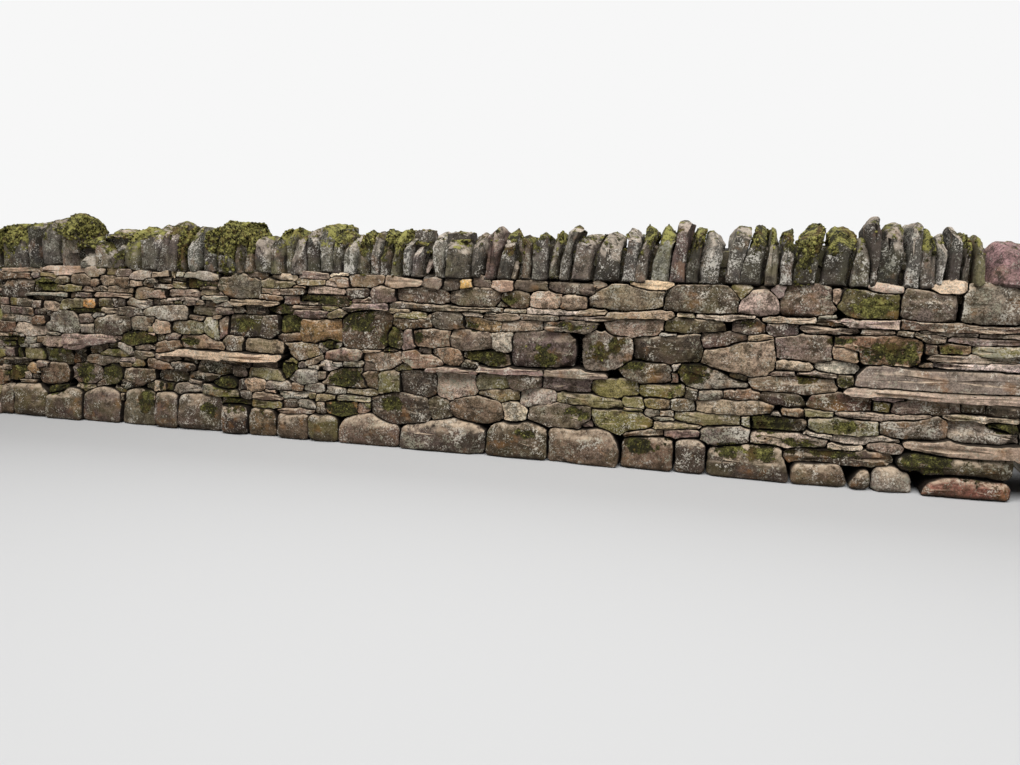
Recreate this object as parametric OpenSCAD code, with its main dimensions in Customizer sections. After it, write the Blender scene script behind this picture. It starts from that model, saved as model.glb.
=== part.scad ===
// Dry stone field wall: a double wall of stone with a packed middle, footings, through
// stones, a cover band, a cope of stones set on edge, two built heads and a small smoot.
// Millimetres. X runs along the wall, Y through it and Z up. The origin is on the ground
// at the middle of the wall's length and thickness, and the face seen is the one at -Y.

/* [Wall] */
// Length of one bay
bay_length = 1200; // [1100:50:1400]
// Thickness that the battered faces would have down at the ground
base_width = 680; // [620:10:760]
// Thickness of the wall under the cover band
top_width = 430; // [380:10:480]
// Height of the walling from the ground to the bed of the cope
walling_height = 1060; // [960:10:1200]

/* [Footings] */
// Height of the footing stones, and of the smoot between them
footing_height = 210; // [170:10:250]
// How far a footing stone stands out past the face above it
footing_projection = 45; // [20:5:70]
// Open joint between two neighbouring footing stones
footing_joint = 6; // [3:1:12]

/* [Lifts] */
// Height of the first lift's top above the ground
lift_level = 500; // [440:10:560]
// Width of the packed middle down at the footings
hearting_base = 220; // [160:10:260]
// Width of the packed middle up under the cover band
hearting_top = 80; // [50:10:110]
// Length of the built head at the left end
head_length = 240; // [200:10:300]

/* [Joints] */
// Height of a course of face stones, which each lift rounds to a whole number of courses
course_height = 150; // [110:10:200]
// Mean length of a face stone
face_stone_length = 280; // [200:10:400]
// How far back the joints of the faces are open
joint_depth = 45; // [20:5:60]
// How wide the joints of the faces are open
joint_width = 12; // [6:1:20]

/* [Through stones] */
// How far the through stones stand out of each face
through_projection = 45; // [20:5:60]
// Thickness of the thickest through stone
through_thickness = 50; // [36:2:60]
// Thickness of the long slab at the right, a stone laid through the wall
long_slab_thickness = 118; // [80:2:140]
// Length of the long slab
long_slab_length = 900; // [700:20:960]
// How far the long slab starts to the right of the through stone that it lies on
long_slab_setback = 50; // [20:5:90]

/* [Smoot] */
// Clear width of the smoot, the hole through the foot of the wall
smoot_width = 210; // [160:10:240]
// Length of the pier between the smoot and the right end
pier_length = 200; // [160:10:260]
// Thickness of the slabs that roof the smoot
lintel_thickness = 60; // [40:5:80]
// Length of the long front lintel
lintel_length = 840; // [700:20:940]
// How far the lintels run past the smoot on its right
lintel_bearing = 120; // [90:10:160]
// Open joint between the front, middle and back lintels
lintel_joint = 4; // [2:1:8]

/* [Cover band] */
// Thickness of the flat slabs that cap the walling
cover_thickness = 30; // [20:2:50]
// How far the cover slabs stand out past the wall's top
cover_projection = 12; // [0:2:30]
// Open joint between two cover slabs
cover_joint = 5; // [2:1:10]

/* [Cope] */
// Length of a cope stone across the wall
cope_width = 420; // [360:10:480]
// Radius of the domed back of a cope stone
cope_dome = 380; // [280:10:520]
// How far that dome would rise past the flat of a cope stone's head
cope_crown = 6; // [3:1:12]
// Open joint between two cope stones at their beds
cope_joint = 5; // [3:1:10]
// How much narrower each side of a cope stone grows by its head
cope_taper = 4; // [0:1:8]
// Mean depth of the corners broken off the head of a cope stone
cope_corner = 16; // [6:1:22]

/* [Hidden] */
// Every footing stone's length by bay, in mm as laid from the left head to the smoot
FOOTINGS = [
    [260, 390, 330],
    [280, 220, 320, 360],
    [300, 260, 560],
    [440, 390, 430],
    [290, 190, 400, 340],
    [340, 350],
];
// Every cope stone by bay as laid from the left: length of bed, height of head, lean of
// its right side in degrees, where a plus lean sends the head to the right
COPES = [
    [[140, 300, 1], [150, 310, 2], [120, 305, 3], [110, 320, 2], [185, 370, 3],
     [100, 335, 1], [195, 320, 0], [130, 310, 2], [130, 365, 5]],
    [[130, 285, 7], [130, 295, 9], [180, 290, 4], [70, 270, 3], [120, 270, 2],
     [110, 275, 3], [160, 340, 1], [60, 300, 2], [90, 290, 3], [140, 265, -3]],
    [[80, 250, 0], [70, 265, 1], [95, 265, 2], [85, 265, 3], [110, 335, 6],
     [65, 265, 9], [100, 260, 4], [85, 290, 2], [80, 255, 3], [70, 280, 3],
     [65, 270, 8], [60, 255, 9], [85, 330, 4], [75, 240, -2]],
    [[70, 275, -1], [190, 340, 2], [75, 265, 8], [70, 310, 9], [90, 275, 5],
     [130, 265, 3], [110, 275, 3], [65, 285, 8], [55, 330, 10], [135, 280, 10],
     [165, 290, 7], [100, 305, 6]],
    [[70, 320, 6], [105, 315, 6], [100, 340, 3], [80, 310, 3], [115, 290, 3],
     [100, 330, 6], [110, 285, 3], [80, 315, 1], [85, 305, 1], [140, 345, 1],
     [140, 315, 0], [90, 275, -2]],
    [[55, 340, 0], [105, 310, 4], [75, 345, 4], [90, 350, 1], [40, 260, 2],
     [65, 300, 1], [50, 265, 2], [55, 225, 0], [270, 235, 3], [80, 290, 4],
     [80, 310, 3], [100, 285, 1], [90, 295, 0]],
];
// Every cover slab's length, in mm as laid from the left end
COVERS = [420, 310, 560, 380, 470, 290, 520, 350, 440, 600, 330, 480, 390, 540, 460, 660];
// The through stones: start and length in bays from the left end, then height above the
// lift's top and thickness as shares of the thickest one
THROUGHS = [
    [0.62, 0.43, 0.84, 0.96],
    [1.30, 0.80, 0, 1],
    [3.01, 0.90, 0.08, 0.68],
    [4.98, 0.83, 0, 0.88],
];

bays = len(COPES);
wall_length = bays * bay_length;
left_end = -wall_length / 2;
right_end = wall_length / 2;
cover_level = walling_height - cover_thickness;
batter = (base_width - top_width) / 2 / cover_level;
smoot_right = right_end - pier_length;
smoot_left = smoot_right - smoot_width;
head_inner = left_end + head_length;
footing_reach = base_width / 2 + footing_projection;
last_through = THROUGHS[len(THROUGHS) - 1];
long_slab_start = left_end + last_through[0] * bay_length + long_slab_setback;
long_slab_bottom = lift_level + (last_through[2] + last_through[3]) * through_thickness;
SIDES = ["front", "back"];
$fn = 96;

// The sum of the first n values of a list
function total(list, n) = n <= 0 ? 0 : list[n - 1] + total(list, n - 1);
// One list made of a list of lists, in order
function flat(lists) = [for (list = lists) for (item = list) item];
// How many stones the bays before this one hold
function laid_before(lists, bay) = total([for (list = lists) len(list)], bay - 1);
// Half of the wall's thickness at a height
function half_width(z) = base_width / 2 - batter * z;
// Half of the packed middle's thickness at a height: plumb behind the footings, then tapered
function half_hearting(z) = z <= footing_height ? hearting_base / 2
    : hearting_base / 2 - (hearting_base - hearting_top) / 2
        * (z - footing_height) / (cover_level - footing_height);
// A steady value from 0 to 1 that differs from stone to stone
function vary(number, salt) = rands(0, 1, 1, 97 * number + salt)[0];
// Which face of the wall a side is on
function sign_of(side) = side == "front" ? -1 : 1;

// Extrudes a Y-Z outline along the wall from x0 to x1
module along(x0, x1) {
    translate([x0, 0, 0]) rotate([90, 0, 90]) linear_extrude(x1 - x0) children();
}

// Extrudes an X-Z outline through the wall from y0 to y1
module through(y0, y1) {
    translate([0, y1, 0]) rotate([90, 0, 0]) linear_extrude(y1 - y0) children();
}

// The wall's full battered section between two heights
module full_section(x0, x1, z0, z1) {
    along(x0, x1) polygon([
        [-half_width(z0), z0], [half_width(z0), z0],
        [half_width(z1), z1], [-half_width(z1), z1],
    ]);
}

// One side's skin of face stones, between the battered face and the packed middle
module skin_section(side, x0, x1, z0, z1) {
    s = sign_of(side);
    along(x0, x1) polygon([
        [s * half_hearting(z0), z0], [s * half_width(z0), z0],
        [s * half_width(z1), z1], [s * half_hearting(z1), z1],
    ]);
}

// A footing stone: a block with a bulging face, its corners broken and its bed flat
module boulder(length, y_in, y_out, height, number) {
    side = y_out > y_in ? 1 : -1;
    depth = abs(y_out - y_in);
    corner = height * (0.09 + 0.13 * vary(number, 1));
    crown = height * (0.08 + 0.12 * vary(number, 2));
    slope = height * (0.05 + 0.09 * vary(number, 3));
    intersection() {
        translate([0, y_in, 0]) mirror([0, side < 0 ? 1 : 0, 0])
            linear_extrude(height) polygon([
                [0, 0], [length, 0], [length, depth - corner],
                [length - corner, depth - corner / 3], [length / 2, depth],
                [corner, depth - corner / 2], [0, depth - corner],
            ]);
        through(min(y_in, y_out) - 1, max(y_in, y_out) + 1) polygon([
            [0, 0], [length, 0], [length, height - crown],
            [length - crown, height], [crown, height], [0, height - slope],
        ]);
    }
}

// The beds of the footing stones, fitted between the left head and the smoot
function footing_start(n) = head_inner + total(flat(FOOTINGS), n)
    * (smoot_left - head_inner) / total(flat(FOOTINGS), len(flat(FOOTINGS)));

// One bay's footings on both faces, with the tie stones under the head and beside the smoot
module footing(bay) {
    first = laid_before(FOOTINGS, bay);
    last_stone = len(flat(FOOTINGS)) - 1;
    color("rosybrown") {
        for (n = [first:first + len(FOOTINGS[bay - 1]) - 1])
            if (n < last_stone) for (side = SIDES) {
                s = sign_of(side);
                x0 = footing_start(n) + footing_joint / 2;
                x1 = footing_start(n + 1) - footing_joint / 2;
                translate([x0, 0, 0])
                    boulder(x1 - x0, s * hearting_base / 2, s * footing_reach, footing_height,
                            n + (s > 0 ? 50 : 0));
            }
        if (bay == 1) tie_stone(left_end, head_inner - footing_joint / 2);
        if (bay == bays) {
            tie_stone(footing_start(last_stone) + footing_joint / 2, smoot_left);
            tie_stone(smoot_right, right_end);
        }
    }
}

// A footing stone laid right through the wall
module tie_stone(x0, x1) {
    translate([x0, -footing_reach, 0]) cube([x1 - x0, 2 * footing_reach, footing_height]);
}

// The slabs laid from face to face that tie the two skins together
module throughs() {
    color("tan") for (slab = THROUGHS) {
        z0 = lift_level + slab[2] * through_thickness;
        reach = half_width(z0) + through_projection;
        translate([left_end + slab[0] * bay_length, -reach, z0])
            cube([slab[1] * bay_length, 2 * reach, slab[3] * through_thickness]);
    }
}

// The thick slab over the last through stone
module long_slab() {
    reach = half_width(long_slab_bottom) + through_projection / 2;
    color("tan") translate([long_slab_start, -reach, long_slab_bottom])
        cube([long_slab_length, 2 * reach, long_slab_thickness]);
}

// The three slabs over the smoot: a long one in the front face, one in the middle, one behind
module smoot_lintels() {
    reach = half_width(footing_height) + footing_projection / 2;
    right = smoot_right + lintel_bearing;
    inner = hearting_base / 2;
    short = smoot_width + 2 * lintel_bearing;
    color("tan") {
        translate([right - lintel_length, -reach, footing_height])
            cube([lintel_length, reach - inner, lintel_thickness]);
        translate([right - short, -inner + lintel_joint, footing_height])
            cube([short, 2 * (inner - lintel_joint), lintel_thickness]);
        translate([right - short, inner, footing_height])
            cube([short, reach - inner, lintel_thickness]);
    }
}

// Everything that is built into pockets in the lifts
module built_in() {
    throughs();
    long_slab();
    smoot_lintels();
}

// Where a bay's skins start and end, between the two heads
function bay_start(bay) = bay == 1 ? head_inner : left_end + (bay - 1) * bay_length;
function bay_end(bay) = bay == bays ? smoot_left : left_end + bay * bay_length;

// How many courses a lift between two heights has, and where its nth bed is
function courses(z0, z1) = round((z1 - z0) / course_height);
function bed(n, z0, z1) = z0 + n * (z1 - z0) / courses(z0, z1);

// The open front of a joint in one side's face, between two heights
module open_joint(side, x0, x1, z0, z1) {
    s = sign_of(side);
    along(x0, x1) polygon([
        [s * (half_width(z0) - joint_depth), z0], [s * (half_width(z0) + 1), z0],
        [s * (half_width(z1) + 1), z1], [s * (half_width(z1) - joint_depth), z1],
    ]);
}

// The bed joints over each course of a lift
module bed_joints(side, x0, x1, z0, z1) {
    for (n = [1:courses(z0, z1)])
        open_joint(side, x0 - 1, x1 + 1, bed(n, z0, z1) - joint_width, bed(n, z0, z1));
}

// The upright joints between face stones, each course broken over the one below
module upright_joints(side, x0, x1, z0, z1) {
    clear = face_stone_length / 4;
    for (n = [1:courses(z0, z1)], stone = [1:floor(wall_length / face_stone_length)]) {
        shift = n % 2 / 2 + 0.3 * vary(stone + 40 * n, z0 + sign_of(side));
        x = left_end + (stone + shift) * face_stone_length;
        if (x > x0 + clear && x < x1 - clear)
            open_joint(side, x, x + joint_width, bed(n - 1, z0, z1), bed(n, z0, z1) - joint_width / 2);
    }
}

module lower(side, bay) {
    color("darkkhaki") difference() {
        skin_section(side, bay_start(bay), bay_end(bay), footing_height, lift_level);
        bed_joints(side, bay_start(bay), bay_end(bay), footing_height, lift_level);
        upright_joints(side, bay_start(bay), bay_end(bay), footing_height, lift_level);
        built_in();
    }
}

module upper(side, bay) {
    color("tan") difference() {
        skin_section(side, bay_start(bay), bay_end(bay), lift_level, cover_level);
        bed_joints(side, bay_start(bay), bay_end(bay), lift_level, cover_level);
        upright_joints(side, bay_start(bay), bay_end(bay), lift_level, cover_level);
        built_in();
    }
}

// The joints of a head, which run round its end
module head_joints(x0, x1) {
    for (side = SIDES) bed_joints(side, x0, x1, footing_height, cover_level);
    end = x0 == left_end ? x0 - 1 : x1 - joint_depth;
    for (n = [1:courses(footing_height, cover_level)])
        translate([end, -base_width / 2, bed(n, footing_height, cover_level) - joint_width])
            cube([joint_depth + 1, base_width, joint_width]);
}

module left_head() {
    color("darkkhaki") difference() {
        full_section(left_end, head_inner, footing_height, cover_level);
        head_joints(left_end, head_inner);
    }
}

// The right head stands over the smoot and its pier
module right_head() {
    color("darkkhaki") difference() {
        full_section(smoot_left, right_end, footing_height, cover_level);
        head_joints(smoot_left, right_end);
        built_in();
    }
}

// The packed middle, from the ground to the cover band
module hearting() {
    stop = footing_start(len(flat(FOOTINGS)) - 1) + footing_joint / 2;
    base = hearting_base / 2;
    color("dimgray") difference() {
        union() {
            along(head_inner, smoot_left) polygon([
                [-base, footing_height], [base, footing_height],
                [hearting_top / 2, cover_level], [-hearting_top / 2, cover_level],
            ]);
            along(head_inner, stop) polygon([
                [-base, 0], [base, 0], [base, footing_height], [-base, footing_height],
            ]);
        }
        built_in();
    }
}

// The flat slabs across the top of the walling
module cover_slabs() {
    fit = wall_length / total(COVERS, len(COVERS));
    reach = top_width / 2 + cover_projection;
    color("tan") for (n = [0:len(COVERS) - 1]) {
        x0 = left_end + fit * total(COVERS, n) + (n > 0 ? cover_joint / 2 : 0);
        x1 = left_end + fit * total(COVERS, n + 1)
            - (n < len(COVERS) - 1 ? cover_joint / 2 : 0);
        translate([x0, -reach, cover_level])
            cube([x1 - x0, 2 * reach, cover_thickness]);
    }
}

// Where the joint before the nth cope stone meets the bed, and how it leans
function cope_bed(n) = left_end + wall_length * total([for (stone = flat(COPES)) stone[0]], n)
    / total([for (stone = flat(COPES)) stone[0]], len(flat(COPES)));
function cope_lean(n) = n <= 0 ? 0 : tan(flat(COPES)[n - 1][2]);

// A cope stone: its front outline between two leaning joints, cut by the domed cross profile
module cope_stone(n) {
    stone = flat(COPES)[n];
    height = stone[1];
    gap = cope_joint / 2;
    left = cope_bed(n) + gap;
    right = cope_bed(n + 1) - gap;
    left_head_x = left + height * cope_lean(n) + cope_taper;
    right_head_x = right + height * cope_lean(n + 1) - cope_taper;
    drop = cope_corner * (0.4 + 1.2 * vary(n, 4));
    rise = cope_corner * (0.4 + 1.2 * vary(n, 5));
    left_break = (right - left) * (0.12 + 0.26 * vary(n, 6));
    right_break = (right - left) * (0.12 + 0.26 * vary(n, 7));
    translate([0, 0, walling_height]) intersection() {
        through(-cope_width / 2 - 1, cope_width / 2 + 1) polygon([
            [left, 0], [right, 0], [right_head_x, height - drop],
            [right_head_x - right_break, height], [left_head_x + left_break, height],
            [left_head_x, height - rise],
        ]);
        along(min(left, left_head_x) - 1, max(right, right_head_x) + 1) intersection() {
            translate([0, height + cope_crown - cope_dome]) circle(cope_dome);
            translate([-cope_width / 2, 0]) square([cope_width, height]);
        }
    }
}

// One bay's stretch of the cope
module cope(bay) {
    first = laid_before(COPES, bay);
    color("gray") for (n = [first:first + len(COPES[bay - 1]) - 1]) cope_stone(n);
}

for (bay = [1:bays]) {
    footing(bay);
    cope(bay);
    for (side = SIDES) {
        lower(side, bay);
        upper(side, bay);
    }
}
left_head();
right_head();
hearting();
throughs();
long_slab();
smoot_lintels();
cover_slabs();
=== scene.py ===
# %% [markdown]
# A dry stone wall is two skins of stone that lean on each other, laid without mortar and
# locked by a row of upright stones, the cope. This lesson dresses its plain solids: the
# skins become four hundred stones a side, fitted to each other, and the cope, footings and
# slabs get the broken faces, lichen and moss of old field stone.

import math

import bpy
import numpy as np
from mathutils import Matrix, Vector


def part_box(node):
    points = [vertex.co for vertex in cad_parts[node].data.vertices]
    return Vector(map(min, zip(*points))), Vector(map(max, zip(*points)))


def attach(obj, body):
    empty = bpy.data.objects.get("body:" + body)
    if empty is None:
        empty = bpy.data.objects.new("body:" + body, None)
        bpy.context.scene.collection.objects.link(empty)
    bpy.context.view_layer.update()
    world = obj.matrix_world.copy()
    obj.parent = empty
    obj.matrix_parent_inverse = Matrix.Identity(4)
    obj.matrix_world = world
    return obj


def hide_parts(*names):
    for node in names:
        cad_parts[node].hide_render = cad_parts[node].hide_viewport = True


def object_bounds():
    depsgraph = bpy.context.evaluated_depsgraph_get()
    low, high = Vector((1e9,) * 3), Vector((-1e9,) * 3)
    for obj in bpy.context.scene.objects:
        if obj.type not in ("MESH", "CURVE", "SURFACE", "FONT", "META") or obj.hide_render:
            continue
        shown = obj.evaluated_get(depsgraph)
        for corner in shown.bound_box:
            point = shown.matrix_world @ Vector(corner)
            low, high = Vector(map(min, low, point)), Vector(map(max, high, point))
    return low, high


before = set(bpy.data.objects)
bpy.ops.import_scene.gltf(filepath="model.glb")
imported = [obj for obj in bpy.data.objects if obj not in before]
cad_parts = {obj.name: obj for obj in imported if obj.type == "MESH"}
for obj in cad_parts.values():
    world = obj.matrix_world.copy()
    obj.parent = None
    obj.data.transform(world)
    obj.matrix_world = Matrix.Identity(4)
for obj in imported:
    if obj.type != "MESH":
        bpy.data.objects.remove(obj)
CAD_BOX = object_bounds()
print("solids:", len(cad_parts), "box:", [tuple(round(v, 3) for v in c) for c in CAD_BOX])

# %% [markdown]
# All the sizes come from the solids themselves, so the stones stay inside the wall that was
# built. The two faces lean inwards, which wallers call batter: it is read off the end of the
# wall, from its width over the footings and its width under the cover slabs.

# %% Sizes read from the solids
BAYS = 6
LEFT_END = CAD_BOX[0].x
RIGHT_END = CAD_BOX[1].x
BAY = (RIGHT_END - LEFT_END) / BAYS
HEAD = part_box("left_head")
FOOTING_TOP = HEAD[0].z
WALL_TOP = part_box("cover_slabs")[1].z
COVER_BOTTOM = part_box("cover_slabs")[0].z
COVER_OVERHANG = 0.012
FOOT_HALF = HEAD[1].y
TOP_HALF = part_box("cover_slabs")[1].y - COVER_OVERHANG
BATTER = (FOOT_HALF - TOP_HALF) / (HEAD[1].z - FOOTING_TOP)
COPE_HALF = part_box("cope_2")[1].y
LIFT_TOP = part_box("lower_front_2")[1].z
SMOOT_WIDTH = 0.21
SMOOT_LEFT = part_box("right_head")[0].x
SMOOT_RIGHT = SMOOT_LEFT + SMOOT_WIDTH


def half_width(z):
    """Half of the wall's thickness at a height."""
    return FOOT_HALF - BATTER * (z - FOOTING_TOP)


print("batter 1 in", round(1 / BATTER, 1), "lift top", round(LIFT_TOP, 3), "bay", round(BAY, 3))

# %% [markdown]
# The camera stands where the photograph was taken, a little right of the middle, with the
# horizon at the top of the wall. Its lens is as wide as a telephone's. Finding it first means
# that every stone can be judged against the picture from the first render on.

# %% The camera
CAMERA_PLACE = (1.78, -4.638, 1.41)
CAMERA_YAW = 16.4
CAMERA_DIP = 11.83
FOCAL_PIXELS = 766.0
IMAGE_WIDTH = 1020
SENSOR = 36.0

camera_data = bpy.data.cameras.new("camera")
camera_data.sensor_fit = "HORIZONTAL"
camera_data.sensor_width = SENSOR
camera_data.lens = FOCAL_PIXELS / IMAGE_WIDTH * SENSOR
camera_data.clip_end = 200
camera = bpy.data.objects.new("camera", camera_data)
camera.location = CAMERA_PLACE
camera.rotation_euler = (math.radians(90 - CAMERA_DIP), 0, math.radians(CAMERA_YAW))
bpy.context.scene.collection.objects.link(camera)
bpy.context.scene.camera = camera
print("lens:", round(camera_data.lens, 2), "mm")

# %% [markdown]
# A waller's face is read stone by stone. Each line below is one stone of the near face: its
# kind, in letters for rock and growth that a later cell explains, then its corners along the
# wall and up it, in centimetres. Two corners alone are the ends of a plain block's diagonal.
# The corners were read one by one, so neighbours don't meet exactly; another cell lets every
# stone grow until only a joint is left between them. Drawing five hundred outlines is slower
# than scattering stones by a rule, but a rule can't put the big mossy boulder or the long
# pale slab where the real ones lie.

# %% The face from the left end to the second bay
FACE_LEFT = [
    ("K", -345, 105, -309, 105.5, -310, 107.5, -345, 106.5),
    ("K", -309, 106, -303, 106.5, -296, 104.5, -270, 105, -270, 108.8, -300, 108.8),
    ("B", -346, 100.5, -332, 105),
    ("B", -331, 101, -318, 105),
    ("P", -319, 101.5, -311, 105.5),
    ("NW", -314, 99, -308, 102, -298, 102, -296, 99, -302, 97.8),
    ("NB", -308, 101.7, -296, 105.3),
    ("CN", -296, 99, -292, 102, -286, 102.5, -283, 100, -288, 97.2),
    ("D", -346, 90, -345, 94, -340, 98, -336, 100, -322, 100, -317, 97, -318, 91, -325, 87.7,
     -345, 87.5),
    ("DN", -317, 92, -297, 97),
    ("N", -297, 92, -292, 96, -271, 96, -271, 92.5),
    ("W+", -322, 89, -320, 90, -310, 91, -290, 91.5, -285, 90.5, -285, 89, -321, 88.5),
    ("D", -320, 85.5, -298, 88.5),
    ("WD", -297, 86.5, -294, 88, -291, 87.5, -293, 85.8),
    ("KG", -346, 81, -339, 85),
    ("N", -339, 80.5, -332, 85),
    ("C", -331, 80.5, -317, 85.5),
    ("PB", -317, 78.5, -316, 84, -309, 84.3, -308, 79),
    ("K", -309, 82, -306, 84.5, -298, 84, -293, 81, -294, 78, -303, 77.5, -310, 79.5),
    ("GN", -291, 80, -289, 85, -277, 87, -271, 86.5, -270, 82, -273, 79.5),
    ("G", -347, 75, -338, 80),
    ("P", -338, 75, -326, 80),
    ("G", -326, 74.5, -315, 79.5),
    ("P", -315, 75, -306, 80),
    ("D", -306, 75, -299, 78),
    ("CW", -305, 65.5, -304, 68, -299, 70, -300, 75, -293, 77.5, -281, 77.5, -277, 71, -275, 66,
     -276, 63.5, -300, 63.5),
    ("D", -347, 69, -333, 74),
    ("WG", -332, 69.5, -318, 73.5),
    ("B", -318, 71, -312, 74.5, -306, 74, -305, 69, -309, 67, -317, 68),
    ("B", -348, 61, -334, 69),
    ("KS", -334, 62, -333, 67, -329, 68.5, -323, 68, -318, 66, -311, 66, -306, 66.5, -305, 64,
     -308, 60.5, -318, 59.5, -330, 60.5),
    ("W", -304, 60, -302, 62.3, -295, 62.5, -293, 60.8),
    ("K", -347, 58, -340, 60.5),
    ("B", -340, 58, -336, 61),
    ("KP", -336, 58.5, -325, 61),
    ("K", -310, 53.5, -306, 58, -304, 59.5, -291, 59.5, -290, 56, -293, 52.5, -303, 51.5),
    ("K", -346, 55, -331, 57.5),
    ("M", -333, 52, -325, 58),
    ("W", -325, 52.5, -315, 57.5),
    ("B", -314, 54, -309, 58),
    ("G", -348, 51.5, -334, 53.5),
    ("W", -330, 51, -322, 53.5),
    ("W", -319, 51, -311, 53.5),
    ("NK", -329, 47, -328, 49.5, -311, 50, -308, 47.5, -305.5, 45, -307, 43, -325, 42.5),
    ("N", -350, 43, -344, 47),
    ("P", -342, 43.5, -333, 49.5),
    ("M", -333, 42, -328, 49),
    ("KG", -346, 40, -335, 40.5, -322, 41, -323, 42, -335, 42.5, -345, 41.5),
    ("D", -349, 37, -325, 40),
    ("K", -346, 33, -338, 37.5),
    ("M", -340, 27, -338, 36, -332, 38, -325, 36, -324, 31, -330, 27),
    ("P", -326, 28, -320, 33),
    ("OK", -323, 34, -319, 38.5, -315, 37, -313, 34, -314, 32, -321, 32),
    ("BM", -350, 25, -341, 32),
    ("P", -313, 36, -303, 40),
    ("W", -312, 32, -309, 34),
    ("DB", -312, 27, -312, 35.5, -303, 40, -290, 40, -287, 34, -288, 28, -295, 25.5, -306, 25),
    ("ED", -305, 42, -306, 50, -283, 50, -281, 44, -283, 40.5, -300, 40.5),
    ("B", -330, 24.5, -315, 26),
    ("M", -304, 17.5, -303, 22, -297, 24, -288, 24, -286, 21, -293, 20),
    ("KG", -270, 105.5, -269, 109, -256, 109.5, -251, 108, -252, 105.5, -256, 104, -266, 104),
    ("DN", -251, 105, -243, 110),
    ("C", -243, 105, -240, 107.5, -230, 107.5, -230, 104.5, -236, 103.5, -242, 103.5),
    ("WK", -230, 103.5, -226, 106, -222, 107, -214, 106.5, -214, 103, -222, 101.5, -229, 102.5),
    ("PK", -282, 100, -279, 104.5, -270, 105, -265, 101, -262, 99.5, -268, 97, -276, 97.5),
    ("B", -264, 96, -264, 100, -255, 101, -256, 99, -259, 96),
    ("K", -256, 101, -255, 103.5, -251, 103.5, -244, 102.5, -243, 97.5, -249, 97, -253, 98.5),
    ("B", -243, 99, -240, 102.5, -231, 102.5, -230, 97, -233, 95.5, -238, 96.5),
    ("K", -230, 99, -229, 101, -220, 100, -219, 98, -228, 97.5),
    ("G", -219, 99, -216, 101.5, -208, 102, -208, 97, -214, 96),
    ("PK", -272, 93, -269, 96, -263, 94.5, -260, 92.5, -268, 91.5),
    ("GK", -263, 92.5, -262, 95, -252, 95.5, -250, 94, -252, 92.5),
    ("K", -249, 92.5, -248, 96, -240, 96.5, -229, 94.5, -229, 93, -238, 92),
    ("BK", -228, 91, -226, 94, -221, 96.5, -210, 95.5, -208, 93, -208, 90, -216, 88.5, -224, 89),
    ("P", -278, 90, -275, 92, -262, 92, -262, 89.5, -275, 89),
    ("K", -262, 90, -260, 92, -244, 92.5, -235, 91.5, -229, 90.5, -231, 89.3, -250, 89.5),
    ("O+", -269, 82, -268, 86, -265, 87, -260, 86.5, -258.5, 83, -260, 81, -266, 80.5),
    ("NG", -258, 82.5, -257, 86.5, -248, 88, -245, 86.5, -244, 82.5, -250, 82),
    ("G", -245, 82.5, -241, 88),
    ("P", -241, 83, -236, 88),
    ("WK", -234, 84, -230, 88, -222, 86.5, -215, 86.5, -214, 83.5, -222, 82.5, -232, 84),
    ("D", -215, 84, -211, 88),
    ("K", -255, 79.5, -254, 81.5, -244, 81, -242, 79.5, -248, 78.5),
    ("M", -283, 78, -256, 80.5),
    ("C", -241, 78, -239, 82, -231, 82.5, -222, 81, -220, 77, -232, 76.5),
    ("GW", -218, 79, -215, 82, -210, 83.5, -208, 83, -208, 79, -212, 77, -217, 77),
    ("G", -273, 70, -274, 75, -268, 77.5, -263, 76, -262, 72, -266, 69.5),
    ("W", -263, 75.5, -259, 78, -252, 76, -258, 75),
    ("GW", -273, 62.5, -273.5, 69, -268, 70, -261, 69, -260, 63, -266, 62),
    ("CG", -260, 63.5, -260.5, 70, -258, 74.5, -246, 75.7, -234, 76, -231, 74, -231.5, 66, -236, 63.5,
     -250, 62.7),
    ("GKW", -230, 65, -230, 74, -226, 76, -217, 75.5, -212, 71, -211, 67, -219, 65.3),
    ("KS+", -290, 55.5, -289, 60, -276, 61.5, -256, 63, -240, 61, -239, 59.5, -262, 55.5, -278, 52,
     -283, 53),
    ("M", -237, 59, -236, 64, -230, 66, -222, 67, -213, 65, -209, 61, -213, 58.5, -224, 56.5,
     -233, 56.5),
    ("K", -217, 63.5, -209, 65.5),
    ("NM", -257, 48.5, -250, 52, -240, 52.5, -231, 50.5, -230, 48.5, -240, 48, -254, 47.5),
    ("W", -241, 55, -239, 56.5, -234, 56.5, -229, 53.5, -228, 50, -231, 49, -235, 53),
    ("G", -225, 54.5, -220, 56.5, -209, 57, -208, 54, -222, 52.5),
    ("G", -226, 49, -224, 52, -212, 52, -210, 49, -218, 48),
    ("CP", -270, 42, -270, 46, -262, 47.5, -250, 47, -241, 46, -240, 44, -253, 41, -262, 41.5),
    ("E", -281, 41, -271, 50),
    ("S", -241, 44.5, -238, 46, -226, 46.5, -225, 44, -230, 44),
    ("B", -240, 44, -230, 44, -229, 42, -238, 41),
    ("N", -228, 42, -225, 46, -220, 45, -219, 43),
    ("DG", -283, 30, -281, 37, -278, 41, -270, 42, -259, 40, -257, 36, -257, 31, -262, 28, -270, 27,
     -277, 28),
    ("M", -254, 32, -252, 39, -246, 42, -238, 39, -236, 35, -238, 29, -250, 28),
    ("BC", -236, 31, -235, 38, -230, 39, -218, 39, -210, 40, -209, 34, -214, 30, -226, 29),
    ("E", -240, 27, -238, 32, -225, 30, -224, 27, -233, 25.5),
    ("K", -239, 16, -236, 21),
]
print("left part of the face:", len(FACE_LEFT), "stones read")

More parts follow.
